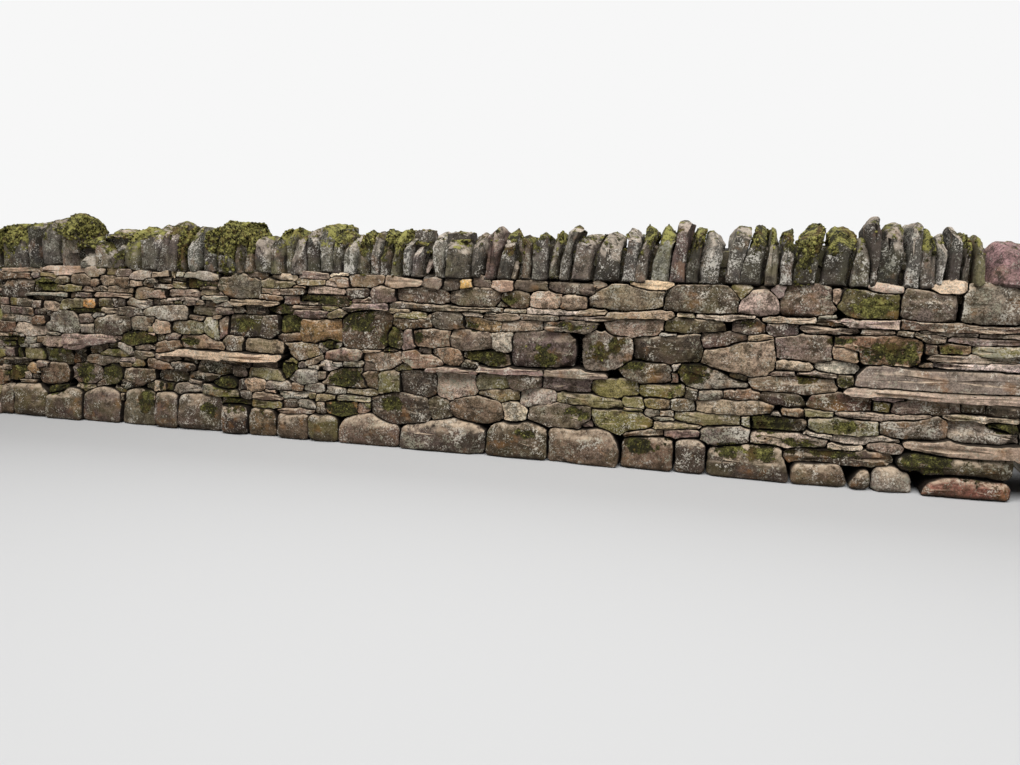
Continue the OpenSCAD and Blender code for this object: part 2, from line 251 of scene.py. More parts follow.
# %% The face over the second and third bays
FACE_MIDDLE_LEFT = [
    ("GK", -214, 103, -214, 106, -203, 106, -197.5, 107.5, -196, 104.5, -204, 103.5),
    ("M", -196, 103, -192, 107),
    ("WN", -191, 104.5, -185, 106.5),
    ("W", -185, 104.5, -181, 106.5, -172, 107.5, -165, 107, -158, 105, -156, 103, -160, 102,
     -168, 102, -175, 104),
    ("G", -216, 98.5, -216, 102, -207, 102.5, -204, 100, -210, 98.5),
    ("D", -208, 99.5, -197, 103.5),
    ("GW", -214, 99, -210, 96, -198, 96, -194, 97.5, -197, 99.5, -205, 99.5),
    ("BN", -195, 101.5, -190, 101, -184, 100, -183, 97, -192, 96.5, -195, 99),
    ("D", -195, 101.5, -184, 103.5),
    ("DM", -183.5, 98, -183, 103, -175, 103, -174, 98),
    ("MB", -174, 98, -158, 102),
    ("PB", -171, 97, -166, 99.5, -158, 99, -158, 97),
    ("G", -158, 99, -157, 103.5, -147, 104, -145, 106, -139, 106.5, -130, 105.5, -126, 102, -125.5, 97,
     -126.5, 91.5, -147, 91.5, -153, 93.5),
    ("KP", -216, 90, -216, 94.5, -200, 95, -199, 91.5, -200, 89.5, -214, 89),
    ("PK", -200, 90.5, -199, 94, -191, 95.5, -176, 95, -173, 93, -174, 91.3, -190, 90.5),
    ("K", -172, 93, -170, 95, -162, 96, -157, 96, -157, 93, -165, 92.3),
    ("W+", -170, 89.7, -169, 92, -162, 92, -151, 92, -150.5, 88.5, -156, 87.5, -160, 89),
    ("P", -156, 92.5, -153, 95),
    ("S", -199, 87.8, -197, 89.3, -192, 90, -179, 90.3, -174, 89.3, -176, 88.6, -190, 88.3),
    ("DG", -211, 84.5, -211, 88.5, -204, 88.5, -202, 85.5),
    ("PB", -204, 85, -203, 88, -196, 88.5, -192, 86.5, -196, 85.5),
    ("N", -193, 86, -186, 88.5),
    ("P", -186, 86, -184, 88.5, -176, 88, -175, 86),
    ("G", -175, 86, -173, 88.5, -169, 88, -168, 86),
    ("D", -168, 85, -160, 88.5),
    ("P", -160, 85, -155, 87, -150, 88.5, -146, 87, -146, 85),
    ("GW", -207, 80, -206, 83, -200, 84.5, -195, 85, -185, 85, -183, 82.5, -181.5, 78, -182, 75,
     -203, 75, -206, 77),
    ("DG", -180, 81, -179, 83.5, -172, 85, -166, 84, -160, 81.5, -160, 79.5, -168, 79, -174, 79.5),
    ("P", -160, 82, -158, 84.5, -150, 85.5, -146, 84.5, -146, 81, -155, 80.5),
    ("KB", -182, 77, -180, 78.2, -176, 78, -172, 77.5, -168, 78, -168.5, 75.5, -176, 75.2),
    ("NW", -170, 68, -169, 73, -168.5, 77.5, -164, 77, -158, 75.5, -157.5, 73, -156, 66, -157, 63.5,
     -163, 65),
    ("P", -157, 66, -157, 76, -152, 78, -151, 74, -151, 67, -156, 64),
    ("K", -162, 76.5, -160, 78, -155, 78.5, -155, 77),
    ("G", -215, 72.5, -209, 75),
    ("NK", -216, 66, -216, 71, -212, 71, -210, 68, -211, 65.5),
    ("K", -209.5, 66, -210, 72, -207, 74, -199, 74, -196, 71, -196.5, 66, -203, 65),
    ("GN", -196, 68, -195, 72, -190, 74.5, -176, 75, -171, 73, -170, 67.5, -174, 65, -188, 65.5,
     -192, 67),
    ("M", -216, 58, -209, 65),
    ("P", -200, 61, -200, 65, -188, 65, -188, 63.5, -190, 61.5),
    ("KB", -190.5, 62, -188, 65, -170, 64.8, -163, 61.5, -154.5, 60, -152, 58, -154, 55.5, -168, 56,
     -186, 57, -188, 59),
    ("CG", -154, 61, -152, 63.5, -148, 65.5, -140, 65.5, -138.5, 62, -139, 57, -147, 56, -153, 58),
    ("B", -213, 53, -213, 57, -200, 60.2, -190, 60.5, -189, 57, -193, 54, -204, 52.5),
    ("KG", -209, 49, -208, 50.5, -202, 50.5, -190, 50, -188, 48, -192, 46.5, -202, 47, -207, 47.3),
    ("D", -188, 46, -176, 49.7),
    ("E", -152, 46, -132, 49.5),
    ("D", -131, 46, -113, 49.3),
    ("C", -195, 45, -194, 46, -186, 47.5, -178, 46, -176, 43, -178, 40.5, -190, 40.5, -193, 42),
    ("B", -215, 42, -214, 47, -208, 47, -200, 45, -195, 43, -193, 41, -200, 40.5, -207, 42),
    ("ED", -206, 33, -205, 39, -198, 40, -187, 39, -184, 37, -184, 33, -195, 32.5),
    ("E", -182, 36, -181, 39.5, -175, 40, -163, 40, -157, 38, -158, 36, -170, 34.5),
    ("C", -181, 32, -181, 35, -170, 34.5, -170, 32.5),
    ("E", -174, 40, -173, 48, -160, 48, -148, 46, -148, 40, -160, 39),
    ("PD", -147, 39, -147, 45, -139, 45.5, -137, 40),
    ("M", -161, 33, -160, 36, -152, 38, -147, 37, -143, 33, -146, 30, -155, 29.5, -160, 31),
    ("GN", -169, 25, -169, 31, -160, 31, -150, 29.5, -146, 30, -140, 27.5, -140, 25, -152, 24.5,
     -163, 25),
    ("GW", -195, 25.5, -193, 28, -190, 31.5, -184, 32, -178, 31.5, -171, 31.5, -170.5, 27, -180, 26,
     -188, 25),
    ("K", -209, 26, -208, 31.5, -203, 32, -200, 30, -199, 26, -205, 25.5),
    ("M", -200, 26, -200, 31, -195, 31, -194, 26),
    ("ND", -216, 26, -209, 31),
    ("D", -155, 20, -154, 24, -140, 24, -134, 22, -134, 20),
    ("D", -135, 104.5, -121, 107),
    ("K", -115, 105.5, -112, 107, -99, 106.5, -97, 105, -99, 104, -112, 104.5),
    ("G", -94, 106, -92, 108.5, -85, 108.3, -76, 107, -75, 105.7, -85, 105.3),
    ("GN", -124, 99, -124, 102.5, -118, 104, -111, 103, -100, 103, -99, 101, -101, 99, -110, 98.5,
     -120, 98),
    ("NK", -97, 101, -96, 104, -93, 104.8, -85, 104, -77, 103.7, -76, 102, -80, 101, -92, 100.5),
    ("K", -101, 98.7, -91, 100),
    ("SK", -91, 95.5, -90, 100, -82, 100.8, -70, 100, -63.5, 98.7, -62, 97, -64, 95.5, -82, 95),
    ("GK", -124.5, 95, -124, 97.5, -118, 98, -110, 98, -109, 95, -115, 94.5),
    ("G", -109, 95, -109, 97.5, -99, 98.5, -93, 98, -91.5, 96, -93, 94.8, -102, 94.5),
    ("KB", -126, 90.7, -125, 93.5, -118, 94, -112, 93, -108, 92, -111, 90.5),
    ("CG", -106, 88.5, -106, 93, -102, 94, -96, 93, -95, 89, -100, 88),
    ("G", -95, 88, -95, 90.5, -80, 91, -79, 88.5, -88, 88),
    ("BM", -95, 90.5, -95, 93.5, -85, 95, -65, 95, -61, 92.5, -57.5, 90, -58.5, 88.3, -75, 88,
     -85, 91),
    ("K+", -148, 88, -147, 89.5, -135, 90, -120, 90, -112, 89.5, -111, 88.7, -115, 87, -130, 86.8,
     -146, 87),
    ("KG", -100, 86, -99, 88, -92, 87.7, -80, 88, -79.5, 86, -80, 85, -96, 85.5),
    ("MD", -122, 84, -112, 86, -108, 87.5, -100, 87, -99, 84, -102, 82, -112, 82.5),
    ("D", -137, 81, -122, 86.5),
    ("GB", -147, 82, -147, 84, -138, 84.5, -134, 82.5, -135, 81, -145, 81),
    ("P", -99, 81.5, -98, 84, -88, 84.5, -80, 84.5, -75, 83, -75, 80.5, -80, 79.5, -88, 80),
    ("DE", -149, 67, -148.5, 79, -141, 80.5, -134, 80, -125, 79, -124.5, 74, -125, 66.5, -135, 65.5,
     -145, 66),
    ("C", -124, 68, -123.5, 79, -112, 79.5, -110, 77.5, -109.5, 71, -110, 68.5, -115, 66, -119, 65.3,
     -123, 66.5),
    ("MD", -110, 71, -110, 77, -107, 80, -105, 81, -100, 81, -96, 80, -95, 76, -95, 71, -100, 70,
     -106, 69.3),
    ("BD", -114, 67, -108, 68.5, -100, 70, -95, 69, -93, 66.5, -95, 64.5, -108, 64, -113, 65.5),
    ("OB", -94, 71, -94, 76, -92, 78, -80, 79, -66, 79, -65, 75, -64, 69, -66, 65, -75, 66, -83, 64.5,
     -91, 64, -93, 66.5),
    ("GK", -138.5, 58, -138, 62, -135, 64.5, -125, 64.5, -112, 64.5, -108, 62.5, -106, 59, -108, 56,
     -115, 55, -130, 55.3, -137, 56),
    ("NK", -105, 62.5, -92, 64, -82, 62.8, -79.5, 59.5, -79, 57, -88, 54, -96, 52, -101, 57, -101, 60),
    ("P", -82, 61, -80, 64, -75, 65, -74, 60, -78, 58.5),
    ("N", -106, 50.5, -104, 52.5, -98, 52, -97, 50),
    ("MD", -108, 44, -107, 50, -98, 50, -97, 47, -101, 42, -106, 40),
    ("K", -90, 50, -88, 51.5, -82, 54, -78, 55, -77, 52.5, -84, 50, -88, 49),
    ("S", -88, 48, -80, 49.5, -75, 53, -74, 49, -80, 47.5),
    ("W", -101, 40, -101, 42, -96, 45, -92, 46, -84, 46.5, -82, 46, -80, 42, -83, 40, -82, 38,
     -88, 37, -96, 38.5),
    ("PG", -81, 41, -75.5, 45),
    ("GN", -135, 39, -134, 44, -130, 45, -120, 46, -112, 44, -109, 41, -107, 38, -115, 38.5,
     -128, 39.3),
    ("K", -135, 31, -136, 35, -133, 37.5, -128, 38.5, -123, 37.5, -120.5, 35, -121, 32, -124, 30,
     -130, 29.5),
    ("ED", -141, 30, -141, 35, -136, 36, -135, 31),
    ("GW", -120, 33, -119, 35.5, -115, 37, -105, 37, -101, 35, -100, 32.5, -105, 32, -112, 33,
     -117, 32),
    ("B", -101, 32, -100, 36, -96, 36.5, -92, 34, -93, 32),
    ("PW", -91, 33, -89, 36.5, -84, 37, -76, 37, -75, 33, -84, 32),
    ("K", -120, 29.5, -120, 31.5, -113, 31, -112, 30),
    ("W", -112, 30.5, -104, 31, -88, 31.8, -88, 30, -92, 28, -96, 27, -106, 27, -109, 29),
    ("KN", -88, 29.5, -87, 31.5, -82, 31, -82, 27.5, -86, 28),
    ("BC", -130, 26, -129, 29.5, -122, 30, -114, 28.5, -107, 26, -112, 25, -122, 24.5),
    ("G", -140, 25, -132, 29),
    ("N", -132, 19.5, -131, 23, -122, 23.5, -110, 23.5, -107.5, 21.5, -108, 19.5, -120, 19, -128, 19),
    ("DP", -107, 20.5, -106, 24, -103, 26, -97, 25.5, -95, 22, -97, 20.5),
    ("W", -97, 24, -94, 25.5, -86, 25, -82, 22, -83, 20.5, -89, 20.5, -94, 22),
    ("K", -112, 18, -108, 19.5, -90, 20, -83, 20, -85, 18, -95, 17.5, -108, 17),
]
print("second and third bays:", len(FACE_MIDDLE_LEFT), "stones read")

# %% The face over the third and fourth bays
FACE_MIDDLE_RIGHT = [
    ("S", -73.5, 106.7, -70, 108, -62, 108.5, -60, 107.3, -68, 107),
    ("S", -76, 100.5, -75.5, 103, -73, 104, -70, 103.7, -67, 101, -69, 100.2),
    ("KB", -73, 104.2, -69, 106.8, -59, 106, -58, 103, -58.5, 100.5, -67, 100.3, -70, 103.7),
    ("PB", -60, 101, -60, 106.5, -57, 107, -36, 107, -36, 103, -42, 102, -47, 100.5, -57, 100.5),
    ("KG", -35, 102.5, -34, 107, -28, 106.7, -10, 104.5, -10, 103, -12, 101.3, -32, 101),
    ("C", -61, 97.5, -60.5, 99.5, -56, 100, -47, 99.8, -45.5, 97, -47, 94, -53, 93, -57, 93.2, -59, 95),
    ("P", -43, 94, -43, 98, -41, 100, -37, 101, -31, 100, -28, 98.5, -28, 95, -27, 92.5, -32, 92.5,
     -37, 91.5, -42, 91.5),
    ("K", -56.5, 91, -56, 92.5, -50, 92.5, -46, 94, -43.5, 93.5, -43, 91, -50, 90.5),
    ("SV+", -63.5, 86, -62, 87, -58, 88, -55, 90, -45, 90.3, -34, 90.5, -32, 89, -32, 87, -40, 86.3,
     -52, 86, -60, 84.7),
    ("N", -78.5, 85.5, -78, 87.5, -70, 87.8, -67, 87.5, -69, 86, -75, 85.5),
    ("GN", -75, 82, -73, 82.5, -69, 85.5, -67, 86.5, -62, 85.5, -60, 83, -64, 81, -72, 80.3,
     -76, 80.3),
    ("DG+", -31, 88, -30.5, 91.8, -15, 91.8, 0, 91, 30, 90.2, 43, 89.5, 43, 87.3, 30, 87, 17, 87.5,
     -15, 88),
    ("K", -31, 85.7, -30.5, 87.5, -18, 87.7, -17, 86),
    ("N", -27, 82.3, -25, 85, -15, 85.2, -7, 84.2, -6, 82, -16, 81.8),
    ("B", -29, 78, -27.5, 81.8, -16, 81.5, -6, 81.7, -3, 84, -3, 77, -8, 76, -20, 75.5, -26, 77),
    ("BC", -62, 65, -64, 73, -64, 80, -60, 83, -52, 85, -45, 86, -33, 85.5, -30.5, 82, -31, 76, -33, 71,
     -33, 64, -36, 62.5, -50, 61.7, -60, 62),
    ("DM", -32, 64, -32.5, 70, -30, 75.5, -26, 75.5, -22, 71, -21, 66, -24, 63.5, -30, 63),
    ("GP", -22, 64, -21, 70, -19, 75, -16, 75.3, -15, 71, -13.5, 65, -15, 63, -20, 62.8),
    ("W", -70, 62, -67, 64.5, -64, 64, -65, 62),
    ("M", -76, 61, -70, 66),
    ("KP", -75.5, 54, -74, 58, -70, 60, -60, 61, -53, 61, -49, 59.5, -50, 55.5, -54, 53.5, -62, 53.5,
     -72, 53.3),
    ("K", -49, 60, -47, 61.2, -38, 61, -36, 60.5, -40, 59.5),
    ("K", -50, 55, -47, 58, -40, 60.2, -30, 60, -23, 60, -21, 57, -22, 54.5, -30, 50, -37, 49.3,
     -40, 50.5, -42, 53.5),
    ("B", -34, 60.5, -33, 62.5, -28, 62.8, -25, 61),
    ("KB", -23, 56.5, -20, 60.5, -15, 62, -9, 60, -2, 59, 4, 57, 5, 54.5, 0, 53, -8, 53, -14, 52.5,
     -18, 54.5),
    ("DG", -10, 60.5, -3, 64),
    ("S", -80, 47.5, -80, 52.5, -75, 53, -71, 52.5, -70, 50, -66, 48.5, -72, 47),
    ("W", -72, 50.5, -70, 52, -64, 51.5, -62.5, 50, -66, 48.7, -71, 49),
    ("W", -63, 50.5, -62, 52.3, -58, 53, -50, 53, -48, 52.5, -50, 50.5, -56, 49.5, -61, 49),
    ("DP", -48, 48.5, -41, 53),
    ("BM", -77, 39, -74, 42, -71, 45.5, -66, 48, -58, 49, -50, 48.5, -50, 45, -47, 40, -46, 37,
     -50, 36, -57, 37, -65, 37, -75, 37),
    ("DB", -50, 45, -45, 46.5, -39, 47, -38.5, 43, -39, 36.5, -44, 36.5, -46, 38, -48, 42),
    ("GN", -38, 33.5, -38.5, 45, -35, 47.5, -28, 48.5, -24.5, 47, -23.5, 40, -23, 35.5, -28, 35,
     -34, 33),
    ("D", -22.5, 36, -22.5, 48, -10, 48.3, 0.5, 48.3, 1, 44, 0, 36, -4, 34, -12, 35.3),
    ("GW", -75, 34, -75, 36.5, -69, 37, -63, 35, -60, 34, -61, 32, -70, 31.5, -76, 32),
    ("PN", -60, 32.3, -59.5, 35, -50, 36, -42, 36.3, -39, 34, -39, 32, -50, 31.8),
    ("NK", -82, 27, -82, 30.5, -72, 31, -68, 30.3, -68, 28.5, -75, 27.5),
    ("NW", -67.5, 28, -67, 31, -62, 32, -50, 31.5, -43.5, 30, -43, 28, -55, 28, -63, 27.5),
    ("MO", -75, 22, -75, 25, -69, 26, -60, 26.5, -53, 27, -52, 24, -53, 20, -60, 18.5, -68, 18.5,
     -72, 20),
    ("K", -53, 22, -52, 25, -49, 27.3, -45, 26, -44, 23, -46, 21, -50, 20.5),
    ("N", -47, 24, -42.5, 27),
    ("PB", -81.5, 20, -81, 24.5, -76, 24.5, -75.5, 21, -76, 18, -80, 18.5),
    ("CD", -42.5, 24, -42, 30, -36, 33, -28, 34.5, -22, 34, -14, 32.3, -7, 32, -3, 26, -2, 22,
     -4, 17, -24, 16, -31, 16, -37, 18.5, -41, 21),
    ("CG", -9, 103, -7, 105, 0, 106.7, 3, 105.5, 4, 103, 2, 100.7, -3, 101, -7, 102),
    ("D", 4.5, 101, 5, 104, 10, 105.5, 15, 105.5, 16, 103, 14, 100.5, 6, 100.3),
    ("NO", 16, 101, 15.5, 105, 18, 106, 23, 105.8, 24, 102, 20, 101),
    ("D", 24, 104, 25, 107.5, 28, 108, 33, 106, 35, 104, 34, 102, 28, 102),
    ("K", 35, 103, 37, 105, 42, 105.5, 49, 105.5, 50, 102, 49, 100, 42, 100, 38, 101.5),
    ("GD", 50, 103.5, 52, 105.5, 60, 106, 70, 105, 70.5, 102, 60, 101.3, 51, 101.5),
    ("DG", -26.5, 94, -26.5, 99, -21, 100.3, -11, 100.8, 0, 100, 5, 98.7, 8, 96, 8, 93, 5, 91.5,
     -10, 91.3, -24, 93),
    ("GD", 8, 94, 9, 98, 14, 100, 22, 101, 30, 102, 35, 101, 41, 98.5, 41, 94, 37, 91, 30, 90.5,
     15, 90.5, 10, 92),
    ("DB", 41, 96, 43, 98.5, 48, 100, 53, 100.5, 58, 99, 60, 94, 58, 91, 54, 90, 48, 91, 44, 94),
    ("D", 41, 94, 40, 91, 46, 91),
    ("S", 17, 86.3, 20, 87.7, 27, 87.2, 31, 85.5, 31, 84.5, 22, 85),
    ("W", 33, 86.8, 40, 88),
    ("WK", 45, 88, 46, 89.5, 55, 89.5, 58, 89.5, 58, 87.7, 50, 87.5),
    ("K", 31.5, 84.5, 33, 86, 38, 86.5, 45, 87, 53, 86, 55, 84.5, 50, 83, 42, 83, 35, 83),
    ("CG", 55, 84, 55, 86.5, 60, 86.8, 75, 86.5, 78, 85.5, 77, 84.5, 65, 84),
    ("G", -2, 80, -2, 84, 1, 86, 8, 86.5, 17, 86, 18.5, 82, 19, 77, 12, 76, 4, 75.5, 0, 77),
    ("OK", 19, 78, 19, 83, 22, 84, 28, 83.5, 33, 82, 40, 82, 43, 80.5, 42, 77, 38, 75.3, 30, 75.5,
     22, 77),
    ("GK", 43, 78, 44, 81.5, 50, 82.5, 60, 83, 67, 82.5, 68, 80, 67, 77.5, 55, 77, 44, 77),
    ("BG", -14, 66, -14, 74, -10, 75.7, 3, 75.7, 9.5, 75, 9.5, 65.5, 4, 65, -10, 65),
    ("G", 10, 66, 10, 72, 12, 75.5, 17, 76.5, 34, 75.5, 37, 74, 38, 68, 37.5, 64.5, 22, 64,
     13, 65.3),
    ("WGS", 38.5, 66, 37.5, 72, 37, 75, 45, 75, 50, 74.5, 50, 65, 45, 64, 40, 64.5),
    ("KB", -1, 62, 1, 63.5, 8, 64.5, 15, 64, 18, 60, 19, 57, 16, 54.5, 12, 54, 7, 56, 1, 60),
    ("DM", 19, 60, 20, 62.5, 30, 64, 37, 64.5, 43, 63.5, 48, 61, 49, 57, 45, 54.5, 35, 54.5, 30, 57,
     24, 58.5),
    ("DP", 50, 58, 50.5, 73, 53, 76.3, 65, 76.3, 84, 77, 88, 73, 90, 68, 89.5, 63, 87, 58, 80, 56,
     68, 55.5, 53, 55.3),
    ("ED", 18, 53, 20, 57, 28, 56.5, 30, 53),
    ("KW", 0.5, 48, 3, 50, 14, 50.5, 25, 49.5, 27, 47, 28, 43, 28.5, 39, 27, 37, 20, 36, 14, 33.5,
     5, 34, 3, 37, 2, 44),
    ("GN", 27, 44, 28, 47, 31, 50, 40, 49.5, 46, 49, 48, 46, 48.5, 42.5, 40, 41.5, 34, 40, 30, 41),
    ("PC", 49, 44, 48.5, 48, 50, 50, 63, 49.5, 69, 49, 69, 44, 62, 42, 52, 42),
    ("NK", 30, 37, 31, 39, 35, 40.5, 45, 41, 55, 41.5, 55.5, 36, 45, 34.5, 35, 35.5),
    ("D", -3, 29, -2, 31.5, 2, 33, 6, 33.5, 9, 31, 11, 26, 12, 22.5, 8, 21, 1, 20, -1, 23, -2.5, 26),
    ("BG", 12, 26, 12, 30, 15, 33, 20, 34, 28, 35.5, 36, 35, 42, 33.5, 44.5, 29, 45, 24, 43, 21.5,
     36, 20.5, 28, 20, 18, 21, 14, 24),
    ("SK", 47, 23, 47, 28, 46, 32, 50, 33.5, 56, 33, 60, 29, 59, 24, 55, 22, 50, 21.7),
]
print("third and fourth bays:", len(FACE_MIDDLE_RIGHT), "stones read")

# %% The face over the fourth and fifth bays
FACE_RIGHT = [
    ("DP", 71, 103, 71.5, 104.7, 80, 105, 90, 104.5, 98, 104.5, 98.5, 101, 96, 98.5, 92, 98.5, 85, 100,
     76, 100),
    ("KD", 98, 103.5, 98.5, 106, 101, 107, 106, 104.5, 102, 103),
    ("GKK", 95.5, 95, 96, 97, 100, 100, 104, 103, 110, 104.8, 118, 104.8, 125, 103.5, 132, 102,
     139, 102, 139, 94.5, 130, 92, 120, 91, 110, 91, 100, 92, 96, 93),
    ("K", 120, 105.8, 123, 107.5, 135, 107.3, 144, 106.2, 140, 103.5, 133, 102.5, 126, 104),
    ("K", 60.5, 94, 61, 97, 63, 99.5, 66, 100.5, 72, 100.3, 79, 99, 79, 94, 77, 91, 72, 90.3, 64, 91,
     61, 92.5),
    ("K", 79.5, 92, 80, 97, 82, 98.5, 88, 99.3, 94, 98, 95.5, 95, 95, 91, 88, 90, 81, 90.3),
    ("S", 58.5, 87.5, 59, 90, 70, 90.3, 80, 90.3, 88, 90, 93, 88.5, 80, 87),
    ("K", 88, 87.5, 88, 90, 97, 91.5, 105, 91.5, 108, 90, 106, 88, 98, 87.5),
    ("K+", 106, 87, 107, 90, 113, 89.8, 125, 90.8, 144, 91, 145, 88.5, 144, 87.3, 125, 87),
    ("G", 79, 85.2, 79, 86.5, 90, 87, 105, 86.8, 112, 86, 112, 85, 95, 84.8),
    ("GP", 68.5, 80, 70, 82, 78, 82.5, 83, 84.5, 93, 84.5, 97, 83, 103, 83, 100, 80, 96, 77.5,
     88, 77.3, 80, 77, 74, 77.5),
    ("PK", 104.5, 83, 110, 84.5, 119, 86, 138.5, 86, 138.5, 81, 136, 77.5, 133, 76.3, 115, 76.7,
     109, 77.5),
    ("G", 92, 68, 93, 73, 96, 76, 101, 78, 106, 78, 111, 76, 119, 75.5, 122, 73, 123, 68, 121, 63,
     117, 59, 112, 57, 104, 56, 96, 56, 93.5, 60),
    ("PV", 70, 43, 70, 49, 74, 50, 90, 50, 99, 49.5, 98, 45, 98.5, 42.5, 85, 42.5, 74, 43),
    ("N", 100, 44, 100, 48, 103, 50, 115, 51, 125, 50, 126.5, 47, 126, 43, 118, 41.5, 105, 41,
     101, 42),
    ("KW", 56.5, 33, 57, 39, 60, 42, 65, 43, 76, 42.5, 78, 40, 78, 36, 76, 34, 68, 33.5, 60, 33),
    ("GKN", 80, 36, 80, 41, 82, 42, 97, 42, 108, 39.3, 119, 36.8, 118, 34.5, 105, 34, 86, 35),
    ("GN", 118, 37, 119, 41, 125, 41, 129, 41, 131, 38, 130, 36, 120, 35.8),
    ("N", 119, 34, 129, 35.5),
    ("G", 62.5, 25, 63, 30, 65, 33, 73, 33.7, 80, 35, 90, 34.5, 99, 34, 100, 30, 98, 26, 95, 21.5,
     92, 20.3, 85, 21.3, 75, 21.5, 70, 23),
    ("DP", 92, 22, 94, 25, 100, 25.5, 101, 22, 96, 21),
    ("N", 100.5, 30, 101, 32.5, 108, 33, 117, 33.5, 128, 33, 132, 30, 136, 28, 136, 26, 132, 24,
     125, 22.5, 118, 20, 112, 21, 104, 24, 101, 27),
    ("DP", 139.5, 92, 139.5, 99, 142, 103, 146, 105, 168, 105.5, 173, 105, 177, 102, 179.7, 98,
     179, 92, 170, 90.7, 145, 91.5),
    ("GN", 147, 88.5, 147, 91, 155, 90.5, 157, 88),
    ("S+", 157, 88, 158, 90.3, 165, 90, 172, 90, 180, 90.5, 189, 90.5, 188, 88.8, 178, 88.5, 170, 87.3,
     160, 87.3),
    ("NG", 140.5, 82, 142, 85.5, 147, 88, 160, 87.7, 171, 87, 172, 84, 173, 80.8, 165, 80.2,
     145, 79.2, 141, 80),
    ("DG", 178, 82, 178, 85.5, 183, 88, 190, 88, 194, 85, 194, 81, 185, 80),
    ("W", 138, 77.2, 147, 78.6),
    ("DP", 160, 76, 161, 79.8, 170, 80.3, 178, 80, 184, 79, 185, 77, 180, 75, 174, 73, 165, 71.3,
     162, 73),
    ("D", 124, 65, 123.5, 74, 126, 76, 132, 76.5, 140, 77, 146, 78, 150, 77, 156, 79, 160, 78.5,
     161, 72, 161, 65, 158, 63, 145, 62.5, 130, 62.5, 125, 63),
    ("GK", 161.5, 64, 164, 70, 168, 71.5, 175, 72.5, 180, 75, 186, 76, 193, 77, 199, 78, 200.5, 72,
     201, 62, 197, 58, 191, 57, 184, 58.5, 175, 60.5, 168, 61.5),
    ("GB", 115, 57, 120, 61, 128, 62, 140, 61.5, 145, 58, 146, 52, 142, 50.3, 130, 50, 122, 52),
    ("B", 145, 51, 149, 57),
    ("W", 146.5, 57, 146.5, 61, 150, 62, 149, 58.5),
    ("SM", 150, 55, 148, 59, 151, 62, 156, 62, 163, 61, 170, 58.5, 176, 55.5, 187, 52, 187, 50.5,
     178, 49.8, 158, 48, 154, 50),
    ("NM", 127.5, 45, 127.5, 48, 131, 49.5, 145, 50, 153, 50, 154, 46, 152, 43.5, 140, 42.5,
     130, 42.5),
    ("C", 154, 43.5, 154, 49, 160, 48, 160, 42.5),
    ("GW", 161, 43, 162, 47, 168, 48, 173, 48, 174, 46, 172, 43.5, 165, 42.5),
    ("BK", 175, 44, 175, 48, 182, 50, 189, 50, 193, 48, 193, 45, 185, 43.8),
    ("NB", 131, 37.5, 130, 40, 133, 41, 140, 41.3, 144.5, 40.5, 145, 36, 138, 35.3),
    ("WM", 146, 36, 146, 40, 149, 42, 155, 42, 158, 41, 160, 38, 159, 35, 150, 35),
    ("K", 160.5, 37, 160, 41, 165, 42, 175, 43, 192, 43.4, 199, 42, 202, 40.5, 200, 37, 192, 35.8,
     165, 35),
    ("WP", 132, 32.5, 133, 34.5, 139, 34.5, 140, 32, 135, 31.3),
    ("G", 140, 31.8, 140, 34.5, 147, 35, 148, 32),
    ("W", 136, 29.5, 136.5, 30.8, 147, 31.3, 148, 30, 140, 29.2),
    ("NK", 137, 25, 137.5, 28.5, 145, 29, 155, 28, 163, 27.5, 163, 26.3, 150, 25.5, 143, 24.3, 138, 24),
    ("GN", 148, 31, 149, 34, 155, 35, 165, 35, 175, 34.8, 183.5, 34.5, 184, 30, 175, 29.3, 165, 28.5,
     160, 28.7, 152, 30),
    ("WN", 185, 30, 185.5, 34, 189, 35, 190, 29, 187, 29),
    ("GB", 120, 19.3, 121, 21.5, 133, 23.5, 142, 24, 142.5, 20.5, 130, 20),
    ("PK", 143, 20.5, 143, 23.5, 150, 24.5, 158, 25, 163, 24, 163, 21.5, 150, 20),
    ("GW", 163.5, 21, 163.5, 25.5, 167, 27, 175, 28.3, 185, 29, 189, 27, 189.5, 21, 185, 19.5,
     175, 17.5, 168, 19),
]
print("fourth and fifth bays:", len(FACE_RIGHT), "stones read")

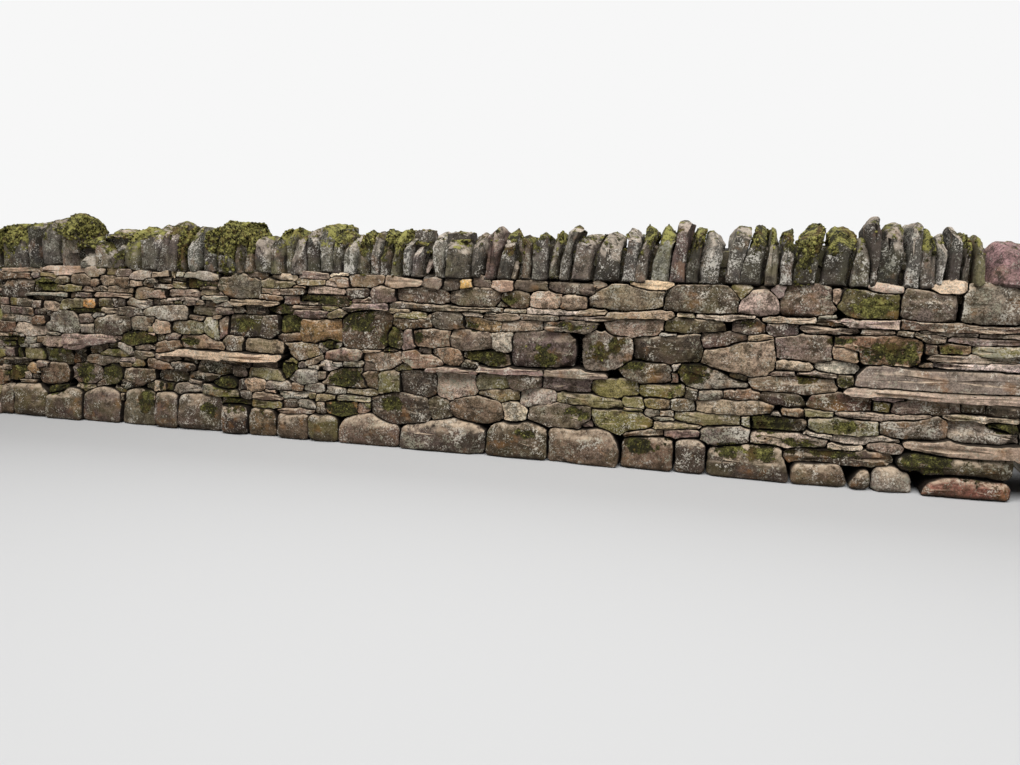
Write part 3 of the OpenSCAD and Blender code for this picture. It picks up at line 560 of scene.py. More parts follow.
# %% The face over the last bay
FACE_END = [
    ("SVG", 180, 91.5, 180, 96, 183, 99.5, 187, 103, 194, 104, 199, 101, 201, 97, 201, 93, 198, 91,
     188, 90.5),
    ("PG", 197, 104, 200, 106, 203.5, 105.5, 203, 101.5, 200, 101),
    ("BG", 202, 93, 202, 98, 204, 103, 206, 107, 221, 107, 226.5, 105.5, 227, 100, 230, 94.5,
     228, 92.3, 219.5, 91, 205, 90.5),
    ("K", 228, 99, 228, 104.5, 231, 105, 232, 101, 230, 98),
    ("W", 221.5, 90.2, 222, 91.7, 230, 91.8, 231.5, 90.3),
    ("NM", 231, 96, 233, 103, 235, 105, 241, 104.5, 250, 104, 260, 103.5, 260, 91, 250, 91, 240, 90.7,
     236, 92),
    ("WK", 246, 107, 247, 109, 255, 107.8, 261, 107, 262, 104.5, 252, 104, 248, 105),
    ("KW+", 193, 88.5, 197, 90, 205, 90.3, 220, 90.5, 220, 88, 210, 87, 198, 86.5),
    ("GD", 221, 87, 222, 89.7, 230, 89, 235, 86.8, 228, 86.3),
    ("SV+", 225, 90, 240, 90.3, 262, 90, 262, 86, 245, 86, 237, 86.5, 230, 88.5),
    ("P", 195.5, 82.5, 196, 86, 205, 87, 211, 85.5, 211, 81, 205, 80, 200, 79.5, 197, 81),
    ("KV", 213, 84.5, 214, 86, 222, 85.8, 230, 85, 241, 85, 242.5, 83, 240, 81.8, 225, 82, 217, 82),
    ("KP", 243, 82.5, 244, 85, 252, 85.5, 259, 85, 260, 83.5, 250, 82),
    ("K", 186.5, 77, 187, 79, 193, 80, 198, 79.5, 199, 78.3, 192, 76.5),
    ("GP", 201, 69, 200.5, 79, 205, 80, 215, 80.5, 224, 81, 229, 80.5, 229.5, 76, 229, 67, 222, 66.5,
     210, 67, 204, 67.5),
    ("B", 230, 76, 231, 80.5, 240, 81.5, 256, 82.5, 266, 82, 272, 80, 273.5, 75, 273, 68, 268, 66.5,
     258, 67, 248, 67.5, 243.5, 69, 242.5, 73.5, 235, 75.5),
    ("KB", 229, 72, 230, 75.5, 235, 75, 242, 73, 243, 69, 240, 67, 235, 68, 231, 70),
    ("NS", 201, 62, 201.5, 65.5, 205, 67.3, 212, 67, 218, 66, 220, 64, 219, 61, 210, 61, 203, 61),
    ("SW", 222, 64, 223, 66, 229, 67, 240, 66.8, 243, 64, 241, 60.8, 235, 60.8, 229, 61, 224, 62.5),
    ("M", 233, 55, 240.5, 60),
    ("KP", 197, 58.5, 200, 60.3, 211, 61, 212, 58.5, 205, 58),
    ("SV", 212, 59, 213, 60.5, 222, 61, 233, 60.5, 233, 59, 225, 58.3),
    ("KB", 188.5, 53, 188, 55, 193, 57, 200, 58, 215, 58.5, 225, 58, 232, 57.5, 233, 53, 232, 50.7,
     220, 49.8, 200, 49.3, 190, 50),
    ("ED", 194, 45, 196, 48, 204, 49, 212, 48.5, 216, 45, 218, 42, 210, 41.5, 200, 42.5),
    ("CRE", 219, 43, 222, 48, 232, 50, 237, 50, 241, 48, 251, 47.5, 251.5, 42.5, 240, 41, 225, 40.8),
    ("W", 200, 36.5, 201, 38.5, 204, 38.8, 206, 36),
    ("KB", 205, 39.5, 206, 40.7, 215, 41, 218, 40.5, 217, 37, 215, 36.5, 206, 37),
    ("GSN", 217, 40.8, 225, 41, 232, 39.7, 232, 37.3, 222, 37, 218, 38),
    ("DM", 191, 28.5, 191, 35, 195, 36, 205, 36, 212, 34.5, 218, 34, 218, 29, 205, 28.5),
    ("NW", 220.5, 31, 221, 35.5, 225, 37, 234, 37.3, 244, 36.5, 254, 36, 255, 30, 246, 28.5, 235, 28.5,
     224, 29),
    ("KS", 233.5, 39.5, 236, 40.8, 250, 41, 262, 41, 279, 42, 279.5, 41, 272, 39, 255, 38, 236, 37.5),
    ("N", 252, 42, 252, 47, 256, 47.5, 260, 46.5, 260, 41.5, 255, 41),
    ("S", 251, 49.5, 252, 48, 262, 47.8, 267, 48.5, 267, 50, 255, 49.8),
    ("KS", 191, 20.5, 191, 25, 194, 27, 200, 27.8, 210, 27.5, 220, 26.5, 225, 25, 230, 24.5, 230, 21,
     228, 20, 222, 21, 210, 20, 200, 19.7),
    ("S", 218, 27.5, 219, 29, 225, 28, 232, 27.7, 231, 26.3, 224, 26.6),
    ("S", 232, 24.5, 233, 27, 240, 27.8, 250, 28, 258, 28.5, 266, 27, 262, 26, 251, 25, 243, 23.3,
     238, 23.5),
    ("S", 230.5, 20, 231, 22.5, 233, 23.7, 238, 22.5, 247, 22.5, 247, 20.5, 240, 19.5),
    ("K", 251, 21, 251, 24.5, 258, 26, 263, 25.5, 267, 23.5, 266.5, 20, 258, 20),
    ("C", 208, 14, 209, 16, 215, 19, 225, 19.5, 240, 20, 250, 20.5, 258, 20, 262, 18.5, 263, 16,
     260, 13.5, 240, 13, 220, 12.3, 212, 12),
    ("KD+", 262, 86, 262, 90, 275, 89.8, 290, 89, 300, 88.5, 319, 89, 319, 86, 305, 85, 290, 85.3,
     270, 85.7),
    ("SV", 271, 84, 272, 85, 285, 84.8, 299, 84.5, 299, 83, 285, 83.5),
    ("SV", 299, 82.7, 319, 85),
    ("GK", 260, 83, 261, 85, 268, 84.5, 268, 82, 264, 81.5),
    ("PC", 268.5, 83, 270, 84.5, 278, 84, 284, 82, 283, 80, 277, 79, 272, 81),
    ("SV", 285, 81, 287, 83, 292, 83, 300, 82.5, 318, 82.5, 318, 79.5, 300, 79, 290, 80),
    ("BG", 274, 75, 275, 78, 280, 78, 281, 74, 275, 73.5),
    ("BN", 281, 74, 280, 78, 285, 79, 295, 78.5, 295, 74, 285, 73.8),
    ("WN", 298, 75, 298, 77.5, 302, 78.3, 310, 78.3, 318, 79, 318, 75, 310, 73.5, 301, 73.5),
    ("SV", 275, 70.5, 279, 73, 285, 73.5, 295, 73.5, 302, 72.5, 310, 71, 318, 73, 318, 70.5, 305, 70,
     290, 69.8),
    ("P", 272, 67, 274, 69.5, 278, 69, 279, 66, 273, 66),
    ("S", 279, 67, 280, 69, 290, 69.5, 305, 69.5, 319, 69.5, 319, 65.9, 305, 66.5, 290, 66.5),
    ("P", 261.5, 94, 262, 104, 264, 106, 272, 105, 280, 104.5, 287, 104, 289, 98, 288, 92, 285, 90.5,
     270, 90.5, 264, 91.5),
    ("K", 276, 107.5, 279, 110, 285, 111, 291, 110, 292, 106, 285, 105, 279, 104.7),
    ("GKW", 289.5, 94, 290, 103, 293, 109, 300, 110, 308, 109, 316, 106, 322, 103, 322, 90, 316, 89.5,
     305, 89, 293, 90.5, 290, 92),
    ("WG", 256, 31, 256, 36, 260, 37.5, 272, 38.5, 277, 40, 282, 41, 286, 39, 288, 36, 286.5, 31,
     282, 29, 270, 28.3, 262, 28.8),
    ("GW", 289, 32, 289, 38, 292, 39.5, 300, 39.5, 306, 38, 312, 36, 320, 34, 321, 30, 312, 29,
     300, 28.5, 292, 29),
    ("M", 306, 38, 306, 39.5, 319, 39.5, 320, 35, 312, 36),
    ("NS", 286, 41.5, 288, 43, 295, 42.8, 305, 43, 320, 43, 320, 40.3, 305, 40, 292, 40.3),
    ("P", 261, 42, 262, 46.5, 264, 48, 272, 49, 280, 49.3, 293, 49, 293.5, 44, 285, 43, 275, 42,
     265, 41),
    ("D", 294, 44.5, 304.5, 48.7),
    ("C", 305, 43.5, 306, 48.5, 319, 48.7, 320, 43.3),
]
print("last bay:", len(FACE_END), "stones read")

# %% [markdown]
# The long stones come next: the through stones that tie the two faces and stand out of both,
# the thick slab over the last of them, and the slab that roofs the smoot. They are stones of
# the face too, so they stand in the same list of outlines and take part in the fitting, but
# each is kept in a piece of its own, because a waller would pick it out first.

# %% Through stones, long slab and lintel
THROUGHS = [
    ("PC++", -288, 52.5, -286, 56, -283, 57.5, -262, 62.5, -256, 62.5, -240, 61, -240, 58.8, -262, 55.2,
     -276, 51.8),
    ("K+", -205, 50.3, -198, 52, -190, 54, -180, 55, -160, 55, -118, 54.5, -108, 54, -113, 50.5,
     -125, 49.5, -150, 50, -188, 50),
    ("P++", -4, 49.7, -3, 51.5, 4, 52.5, 14, 52.8, 22, 52, 28, 51.3, 28, 50.3, 20, 50.3, 5, 50),
    ("P++", 28, 52, 30, 55, 42, 54, 48, 54.5, 60, 54.5, 70, 54, 70.7, 52, 60, 52, 50, 51, 40, 51.7),
    ("PC++", 71, 52, 72, 55, 80, 55.7, 92, 56, 100, 54, 108, 53, 109, 52, 100, 51.3, 85, 51.3),
    ("KP", 237, 51, 240, 54.3, 255, 54, 262, 55, 285, 54.5, 300, 54.8, 336, 54, 336, 49.5,
     300, 49, 270, 50, 255, 50, 240, 50),
]
LONG_SLAB = [
    ("PV++", 242, 56, 243, 60.5, 248, 65, 255, 66.5, 262, 66.3, 270, 65.5, 290, 65.5, 331, 65,
     331, 55.2, 290, 55.2, 262, 55.4, 250, 55.2),
]
LINTEL = [
    ("PVK++", 268, 26, 270, 27.5, 280, 28, 287, 29, 300, 28, 312, 28.3, 321, 29, 345, 28, 351, 26,
     350, 22.2, 318, 22, 300, 22, 288, 22, 280, 23.3, 272, 24.5),
]
print("slabs laid through the wall:", len(THROUGHS) + len(LONG_SLAB) + len(LINTEL))

# %% [markdown]
# The footings are the largest stones, rounded boulders that were levered into a trench first.
# Each stands out of the face a little and goes down to the floor, so its outline starts at
# height nought; only the last lies on others, under the lintel. Where the foot of one was
# hidden, its sides are carried straight down, as a boulder that size would have them.

# %% The footings
FOOTINGS = [
    ("BD", -350, 0, -350, 19, -345, 22, -338, 23, -336, 21, -335.5, 0),
    ("BD", -335, 0, -336, 21, -330, 24, -313, 24.5, -310, 21, -305, 19, -304.5, 0),
    ("D", -304, 0, -304, 14, -303, 17, -293, 19.5, -287, 22, -282, 23, -272, 21, -271.5, 0),
    ("DG", -271, 0, -271, 19.5, -262, 23, -253, 25, -245, 24, -240, 21, -238, 17, -240, 0),
    ("GM", -239, 0, -237, 15, -235, 21, -232, 24, -226, 26, -215, 25.5, -209.5, 23, -209.5, 0),
    ("P", -209, 0, -208.5, 13, -207, 20, -206, 25, -192, 24.5, -190, 20, -190, 0),
    ("D", -189.5, 0, -189, 14, -188.5, 20, -186, 24, -178, 25, -165, 24.5, -156, 22.5, -155.5, 0),
    ("ED", -155, 0, -155, 19, -150, 20, -140, 20, -134, 18, -133.5, 0),
    ("BM", -133, 0, -132, 17, -126, 18.5, -117, 18.5, -113, 16, -112.5, 0),
    ("BC", -112, 0, -110, 15, -107, 16, -95, 16.5, -88, 17, -87.5, 0),
    ("CN", -87, 0, -86, 17, -73, 17, -66.5, 16, -66, 0),
    ("PB", -65.5, 0, -65, 8, -63, 13, -60, 16.5, -50, 18.8, -43, 20, -38, 18, -33, 16, -27, 14,
     -23, 13, -22.5, 0),
    ("PC", -22, 0, -22, 10, -20, 14, -14, 15, -5, 17.5, 5, 20, 12, 21.5, 20, 20.5, 28, 18.5, 33, 16,
     35, 13, 34, 0),
    ("DB", 35, 0, 35.5, 12, 37, 16, 40, 19.5, 45, 21.5, 55, 21.5, 61, 22.5, 66, 21, 72, 19, 74.5, 16,
     74, 0),
    ("GB", 74.5, 0, 75, 10, 74, 16, 76, 19, 80, 19.7, 92, 20, 103, 21.5, 110, 21, 114, 17, 117, 11,
     117, 0),
    ("BM", 118, 0, 119.5, 10, 119.5, 16, 122, 18, 128, 19, 140, 19.5, 147, 18.5, 149, 15, 148.5, 0),
    ("PD", 149, 0, 149, 17, 153, 19.5, 160, 20, 165, 18, 166.5, 14, 166.5, 0),
    ("D", 167, 0, 167.5, 15.5, 180, 17.5, 193, 19, 200, 20, 206, 19, 208, 14, 212, 0),
    ("BC", 213, 0, 213, 11, 220, 12, 235, 12, 238, 10, 240, 6, 241, 0),
    ("D", 242, 0, 243, 4, 246, 9, 250, 11, 252, 9, 252.5, 0),
    ("VKW", 253, 0, 254, 11, 258, 13, 264, 13.5, 268, 11, 273, 9, 275, 0),
    ("RM", 276, 0, 279, 4, 281, 8, 290, 10.5, 305, 9.7, 318.5, 9.5, 319, 0),
    ("CM", 265, 14.5, 265, 19, 270, 21.3, 278, 21.6, 287, 21, 300, 21, 318.5, 21.8, 319, 20, 319, 11,
     312, 10.3, 303, 12, 290, 13, 280, 11, 273, 10.5, 267, 12.5),
]
print("footings read:", len(FOOTINGS))

# %% Where moss lies thick on the face
# Each patch's middle along the wall and up it, then its reach both ways, in centimetres.
MOSS_PATCHES = [
    (-337, 55, 10, 6), (-307, 97, 10, 5), (-295, 47, 12, 6), (-270, 34, 12, 9), (-247, 39, 9, 5),
    (-226, 62, 14, 5), (-333, 33, 8, 6), (-296, 21, 12, 4), (-216, 18, 7, 8), (-164, 16, 8, 8),
    (-145, 20, 12, 8), (-152, 34, 10, 5), (-203, 28, 6, 4), (-137, 74, 12, 6), (-103, 75, 9, 7),
    (-103, 45, 6, 6), (-80, 92, 18, 3), (-178, 100, 9, 3), (-181, 61, 9, 3), (-72, 63, 8, 4),
    (-52, 80, 14, 9), (-31, 69, 7, 10), (-11, 71, 5, 7), (24, 79, 8, 4), (34, 60, 14, 5), (-60, 43, 9, 6),
    (-30, 27, 14, 7), (71, 62, 8, 8), (102, 66, 11, 9), (113, 71, 7, 6), (122, 60, 10, 5), (61, 16, 8, 5),
    (91, 30, 9, 5), (130, 15, 9, 4), (46, 95, 7, 4), (83, 81, 8, 3), (-62, 23, 8, 5), (247, 97, 9, 5),
    (235, 79, 8, 3), (264, 74, 14, 9), (250, 73, 8, 6), (185, 86, 8, 3), (156, 58, 11, 6), (218, 57, 8, 3),
    (200, 32, 13, 5), (217, 22.5, 12, 3), (239, 33, 8, 4), (232, 18, 22, 3.5), (180, 16, 9, 6),
    (197, 16, 9, 6), (277, 17, 12, 6), (312, 37, 8, 3), (287, 76, 7, 3)]
print("mossy patches:", len(MOSS_PATCHES))

# %% Dark holes that were never pinned, or have lost their stone
HOLES = [
    ("D", 90, 58, 92.5, 76), ("D", 110, 52.5, 115, 56), ("D", 86, 74.7, 91, 76.8),
    ("D", 102.5, 78, 105, 83),
    ("D", 288.5, 92, 290.5, 103), ("D", 230.5, 90, 233, 93.5), ("D", 273, 67.5, 275.5, 72),
    ("D", 272, 0, 276.5, 13.5), ("D", 239.5, 5.5, 243, 11), ("D", 202.5, 39, 205, 41.5),
    ("D", -106.5, 52, -103.5, 62), ("D", -287, 47, -268, 50), ("D", -282.5, 26, -280.5, 36)]
print("holes:", len(HOLES))

# %% Every stone of the face, with the role that it plays
FACE_LISTS = FACE_LEFT + FACE_MIDDLE_LEFT + FACE_MIDDLE_RIGHT + FACE_RIGHT + FACE_END
READ_STONES = [("face", line) for line in FACE_LISTS]
READ_STONES += [("through", line) for line in THROUGHS]
READ_STONES += [("slab", line) for line in LONG_SLAB]
READ_STONES += [("lintel", line) for line in LINTEL]
READ_STONES += [("footing", line) for line in FOOTINGS]
READ_STONES += [("hole", line) for line in HOLES]
print("stones read from the face:", len(READ_STONES))

# %% [markdown]
# The cope is the part of the wall that takes most skill. Its stones are set on edge across
# both skins, each leaning on the next, so that their weight pins the courses below. They are
# read one by one as well, from the left: broad and rounded under thick moss at first, thin
# and leaning further on, with one red boulder near the right end.

# %% The cope, left half
COPE_LEFT = [
    ("M", -360, 107, -360, 137, -352, 139.5, -346.5, 139, -346, 107),
    ("M", -345.5, 107, -345.5, 139, -338, 140, -331.5, 140, -331.5, 126, -332, 107),
    ("GM", -331, 107, -330.5, 127, -329, 139.5, -320, 140, -319.5, 126, -319.5, 107),
    ("DE", -319, 108, -318.5, 140, -313, 142, -309, 142, -308.5, 125, -309, 108),
    ("G", -308, 110.5, -309, 120, -308, 128, -305, 134, -303, 143, -297, 146.5, -292, 146,
     -290.5, 133, -292, 120, -291, 111, -300, 109),
    ("KM", -289.5, 109, -291.5, 120, -289, 132, -290, 142, -290, 146, -286, 147.5, -280, 145.5,
     -277.5, 141.5, -279, 130, -281, 118, -282, 109),
    ("PW", -280, 109, -280.5, 115, -277, 119.5, -268, 121, -261, 118, -259.5, 112, -262, 109),
    ("MW", -280.5, 121, -279, 128, -276, 133, -268, 136.5, -262, 139, -259, 135, -260, 126,
     -262, 119.5, -268, 122),
    ("KM", -259, 109, -259.5, 118, -258, 125, -254, 129, -248, 128, -246, 118, -247, 109),
    ("KO", -259, 130, -259.5, 138, -256, 143.5, -248, 145, -240, 144, -235, 140.5, -232, 135,
     -233, 131, -240, 131.5, -248, 130, -254, 130.5),
    ("MB", -246, 109, -245.5, 118, -244, 124, -236, 127, -234, 121, -235, 112, -237, 109),
    ("WK", -245, 124.5, -244, 127, -232, 131, -229, 130.5, -231, 128, -240, 124.5),
    ("NM", -234, 112, -233.5, 120, -230, 128, -231, 134, -228, 137.5, -223, 138, -221, 134,
     -221.5, 120, -221.5, 108, -229, 108),
    ("WP", -221, 108, -221, 120, -221.5, 134, -219, 139, -212, 138.5, -205, 137.5, -201, 137,
     -201, 131, -204, 122, -208.5, 108),
    ("GB", -208, 107.5, -204, 121, -200.5, 131, -199, 138, -192, 140.5, -186, 140, -189.5, 131,
     -191, 120, -194, 107.5),
    ("MB", -193.5, 107.5, -190.5, 120, -189, 132, -187, 138, -184.5, 138.5, -184, 130, -184.5, 116,
     -184, 107.5),
    ("W", -184, 112, -183.5, 122, -181, 131, -179, 136, -174, 137.5, -171.5, 135, -171, 120,
     -171.5, 112, -176, 108, -181, 108),
    ("DM", -171, 108, -170.5, 122, -171, 136, -166, 138.5, -161, 137, -160, 125, -160.5, 108),
    ("M", -160, 107.5, -159.5, 125, -159, 137, -152, 140.5, -146, 141.5, -143.5, 138, -144, 120,
     -144.5, 107, -149, 105, -154, 106),
    ("BM", -144, 107.5, -143.5, 125, -143, 140.5, -139, 139.5, -137.5, 133, -138, 115, -138, 107.5),
    ("MO", -137.5, 108, -137.5, 124, -137, 136, -132, 137, -129.5, 136, -129, 124, -130, 108),
    ("WO", -130.5, 133.5, -130.5, 137, -127, 140, -122, 139.5, -119.5, 136.5, -120, 133.5),
    ("D", -129.5, 110, -129.5, 120, -127, 127, -128, 133, -120, 133, -116, 130, -115.5, 122,
     -115, 110, -118, 107.5, -125, 108),
    ("DN", -115, 107.5, -114.5, 120, -116, 130, -113.5, 135, -108.5, 137, -107, 132, -107, 120,
     -107.5, 107.5),
    ("NG", -107, 107.5, -106.5, 120, -106.5, 131, -104, 136, -101, 137, -100.5, 130, -100.5, 118,
     -101, 107.5),
    ("G", -100, 107, -100, 118, -100, 131, -97, 135, -92, 134, -90.5, 129, -91.5, 118, -91.5, 107),
    ("E", -91, 108, -90.5, 120, -90, 131, -87, 136, -84, 137.5, -82.5, 131, -82.5, 120, -82.5, 108),
    ("NW", -82, 108.5, -81.5, 122, -82.5, 132, -84, 138.5, -82, 141, -76, 140.5, -71.5, 135,
     -71.5, 125, -72, 108.5),
    ("PM", -72, 108.5, -71.5, 118, -69, 126, -67, 134, -63, 135.5, -61.5, 133, -63.5, 124, -64.5, 116,
     -65, 108.5),
    ("W", -64.8, 108.5, -64.3, 118, -62.5, 126, -60.5, 133, -56, 132.5, -53.5, 127, -54, 118,
     -54.5, 108.5),
    ("M", -54.3, 108, -53.5, 120, -55, 132, -56, 135.5, -50, 137, -46.5, 134, -46, 122, -46.5, 108),
    ("D", -46.3, 108, -46, 120, -46.3, 132, -44, 135, -39.5, 135, -38.3, 130, -38.5, 118, -39, 108),
    ("M", -38.8, 107.5, -38, 120, -38, 131, -38.5, 136, -34, 136.5, -30.5, 134, -31, 120, -32, 107.5),
    ("MN", -31.5, 107.5, -30.5, 120, -30, 130, -30, 136, -25, 136, -22, 133, -24, 122, -25, 107.5),
    ("GW", -24.5, 108.5, -24, 118, -23, 126, -20, 131.5, -17, 132, -15.5, 130, -17.5, 122,
     -18.5, 108.5),
    ("P", -18, 107, -17.5, 116, -15.5, 125, -13, 131.5, -10.5, 130, -10.5, 118, -10.5, 107),
    ("BM", -21, 132.5, -18.5, 138, -14, 141, -9, 140, -6, 135.5, -8, 131.5, -12, 132.5, -16, 133),
    ("RK", -10, 112, -9.5, 118.5, -6, 120.5, -3.5, 119.5, -3, 112),
    ("D", -10.3, 106.5, -10, 111.5, -3, 111.5, -3, 106.5),
    ("BM", -10, 121.5, -9.5, 128, -8, 131, -5, 134.5, -3.5, 130, -4, 122),
]
print("cope stones read on the left:", len(COPE_LEFT))

# %% The cope, right half
COPE_RIGHT = [
    ("W", -2.5, 107, -2, 114, -2.5, 122, -3.5, 131, -2.5, 134, 1.5, 134, 3.5, 130, 4, 120, 4, 112,
     3.5, 107),
    ("D", 4.5, 107.5, 4.5, 120, 5, 130, 8, 134, 10, 133, 8, 125, 6, 107.5),
    ("DN", 6, 108, 8, 118, 9, 126, 10.5, 132, 13, 134, 17, 132, 21, 122, 22.5, 110, 21, 107.5),
    ("BM", 2, 135, 6, 138.5, 10, 142, 15, 140.5, 18, 137, 20.5, 134, 19, 131.5, 14, 135, 10, 135),
    ("D", 23.5, 108, 23, 118, 21, 127, 21, 133.5, 24, 134.5, 29, 131.5, 31.5, 127, 32, 120, 31, 112,
     30, 108),
    ("RB", 31, 107, 33, 106, 36, 107, 38, 118, 39.5, 126, 43, 134, 42, 137, 38, 137, 35, 131,
     34.5, 122, 33, 114),
    ("GM", 38.5, 107, 39.5, 114, 41, 121, 43, 128, 43.5, 134, 47, 136, 49.5, 132, 48, 124, 47.5, 114,
     46, 107),
    ("SO", 46, 107.5, 47.5, 113, 50, 118.5, 52.5, 117, 51.5, 111, 50, 107),
    ("BOM", 51, 107.5, 53, 113, 53, 119, 51, 124, 50, 130, 53, 134, 58.5, 133.5, 60, 126, 60, 114,
     59, 107),
    ("GM", 61, 107, 60.5, 118, 60.5, 130, 62, 134, 67, 134.5, 69.5, 131, 70, 119, 69.5, 108),
    ("NM", 70.5, 108.5, 70.5, 120, 71, 135, 76, 136, 79.5, 134, 78.5, 124, 77.5, 116, 77, 108),
    ("KW", 77, 107.5, 77.5, 116, 80, 126, 81, 134, 84, 137, 88, 139, 91, 138, 90, 134, 85.5, 127,
     83.5, 116, 82, 107),
    ("GK", 83, 107, 84.5, 118, 87, 127, 89, 133, 94, 134, 99, 133.5, 102.5, 132, 100, 128, 97.5, 120,
     95.5, 107),
    ("DE", 97, 107.5, 98.5, 118, 100.5, 127, 104, 132, 109, 136, 113.5, 134.5, 114, 126, 113, 116,
     112, 107.5),
    ("GW", 113, 107, 114, 118, 116, 130, 115.5, 135, 118, 137.3, 123, 136.5, 125, 132, 122.5, 122,
     121.5, 107),
    ("KM", 122.5, 107.5, 124, 119, 125.5, 128, 126, 137, 129, 140, 133, 138.5, 133.5, 133, 131, 124,
     129, 107.5),
    ("WN", 129.7, 107, 130.5, 118, 134, 128, 137, 135.5, 141, 139.5, 144.5, 138, 143.5, 131, 141, 121,
     139.5, 107),
    ("DR", 140.5, 107, 141.5, 118, 144, 130, 145, 138, 148, 141.5, 151.5, 138, 151, 130, 150.5, 116,
     150.5, 107),
    ("DM", 151, 107, 151, 116, 152, 128, 152, 134, 155, 138.5, 159, 138, 160, 134, 158.5, 126,
     157.5, 107),
    ("WG", 158, 107, 158.5, 118, 160, 128, 161, 134, 164, 135.5, 169.5, 135, 170, 128, 169.5, 118,
     169, 107.5),
    ("G", 170, 108, 171, 120, 172, 132, 173, 138, 180, 139, 185.5, 137, 184.5, 130, 181, 120,
     179, 107, 176, 105.5),
    ("DM", 180, 107, 181.5, 119, 185.5, 130, 187, 137.5, 190, 139, 193, 135, 192, 128, 190.5, 118,
     190.5, 106.5),
    ("GN", 191.5, 106, 191.5, 114, 192.5, 121, 193.5, 130, 195.5, 136, 198.5, 139, 200, 135, 199, 126,
     198.5, 105.5),
    ("WM", 199, 107, 199.5, 119, 200.5, 130, 201, 135, 204, 137, 207, 134, 207, 126, 206, 116,
     206.5, 107),
    ("M", 208, 108, 208.5, 120, 208, 131, 210, 137, 215, 141, 221, 140, 223.5, 136.5, 223, 130,
     220.5, 124, 221, 116, 220.5, 107.5),
    ("DM", 221.5, 107, 223, 118, 224, 128, 225, 135, 229, 138.5, 235, 138.5, 239, 134.5, 238.5, 128,
     235, 125, 234.5, 107),
    ("GN", 235.5, 107, 236, 118, 238, 126, 240, 132, 242, 131.5, 243, 126, 245, 118, 244.5, 107),
    ("D", 245.5, 107, 246.5, 118, 244, 130, 243.5, 139, 246, 143, 249.5, 141, 250, 132, 249, 122,
     249, 108),
    ("E", 250, 108, 250, 120, 250.3, 132, 250.5, 138, 254, 140.5, 260, 139, 261.5, 134, 260.5, 107.5),
    ("WG", 261, 107, 262, 118, 263, 128, 265, 138, 267.5, 141.5, 269.8, 138, 269.5, 126, 269, 106.5),
    ("KM", 269.7, 106, 270, 114, 270, 124, 270.5, 134, 272, 138.5, 276, 137.5, 277, 130, 276.8, 107),
    ("WO", 270, 139, 270, 142.5, 272.5, 144.5, 275.5, 142, 276, 139),
    ("W", 277.5, 109.5, 277.5, 122, 277.5, 133, 279, 134.5, 280.5, 131, 280, 120, 280, 109.5),
    ("D", 281, 109.5, 281, 122, 282, 132, 284, 138.5, 287, 137.5, 288, 131, 287.5, 109.5),
    ("KM", 288, 109.5, 288.5, 122, 288.5, 131, 290, 136.5, 293, 133, 293.5, 124, 293, 109.5),
    ("N", 293.5, 109.5, 294, 122, 294, 131, 296, 134, 298, 131, 297.3, 120, 297.8, 110),
    ("Z", 298.5, 112, 298, 122, 299, 127.5, 302, 129.5, 312, 130, 322, 130, 326, 127, 326.5, 118,
     325, 109, 305, 110),
    ("GM", 327, 107, 327.5, 120, 328, 132, 332, 135, 334, 131, 334, 107),
    ("M", 334.5, 107, 334.7, 122, 335, 134, 339, 137, 341.5, 133, 341.5, 107),
    ("BM", 342, 107, 342.2, 120, 343, 131, 347, 134, 350.5, 131, 350.8, 107),
    ("GW", 351.3, 107, 351.5, 120, 352, 132, 355, 135, 359.5, 132, 360, 107),
]
print("cope stones read on the right:", len(COPE_RIGHT))

# %% [markdown]
# Stones laid dry touch, or nearly: a waller turns each one until it sits on its neighbours.
# Here the face is drawn as a map of half-centimetre squares, and each square goes to the
# stone whose outline is nearest. A stone then grows outwards over its own squares, and stops
# where its neighbour's begin. Cutting the outlines from one another with booleans would do
# the same, but slowly, and would leave sharp corners that no stone has.

# %% A map of the face, in squares
SQUARE = 0.005
MAP_TOP = 1.52
MAP_ROWS = int(MAP_TOP / SQUARE)
MAP_COLUMNS = int((RIGHT_END - LEFT_END) / SQUARE)
REACH = 0.018
FAR_AWAY = 9.0
# What stands in the map for a square that no stone owns, and for a place off the map.
FREE = -1
OUTSIDE = -2


def as_corners(numbers):
    """Corners in metres from a line's numbers, which are in centimetres."""
    corners = np.array(numbers, float).reshape(-1, 2) / 100
    if len(corners) == 2:
        (x0, z0), (x1, z1) = corners
        corners = np.array([(x0, z0), (x0, z1), (x1, z1), (x1, z0)])
    x, z = corners.T
    turn = np.sum(x * np.roll(z, -1) - np.roll(x, -1) * z)
    return corners if turn < 0 else corners[::-1]


def distance_to(outline, x, z):
    """How far points are outside an outline; less than nought inside."""
    nearest = np.full(x.shape, FAR_AWAY)
    inside = np.zeros(x.shape, bool)
    for (ax, az), (bx, bz) in zip(outline, np.roll(outline, -1, axis=0)):
        ex, ez = bx - ax, bz - az
        along = np.clip(((x - ax) * ex + (z - az) * ez) / max(ex * ex + ez * ez, 1e-12), 0, 1)
        nearest = np.minimum(nearest, np.hypot(x - ax - along * ex, z - az - along * ez))
        crossing = ((az > z) != (bz > z)) & (x < ax + (z - az) * ex / (ez if abs(ez) > 1e-9 else 1e-9))
        inside ^= crossing
    return np.where(inside, -nearest, nearest)


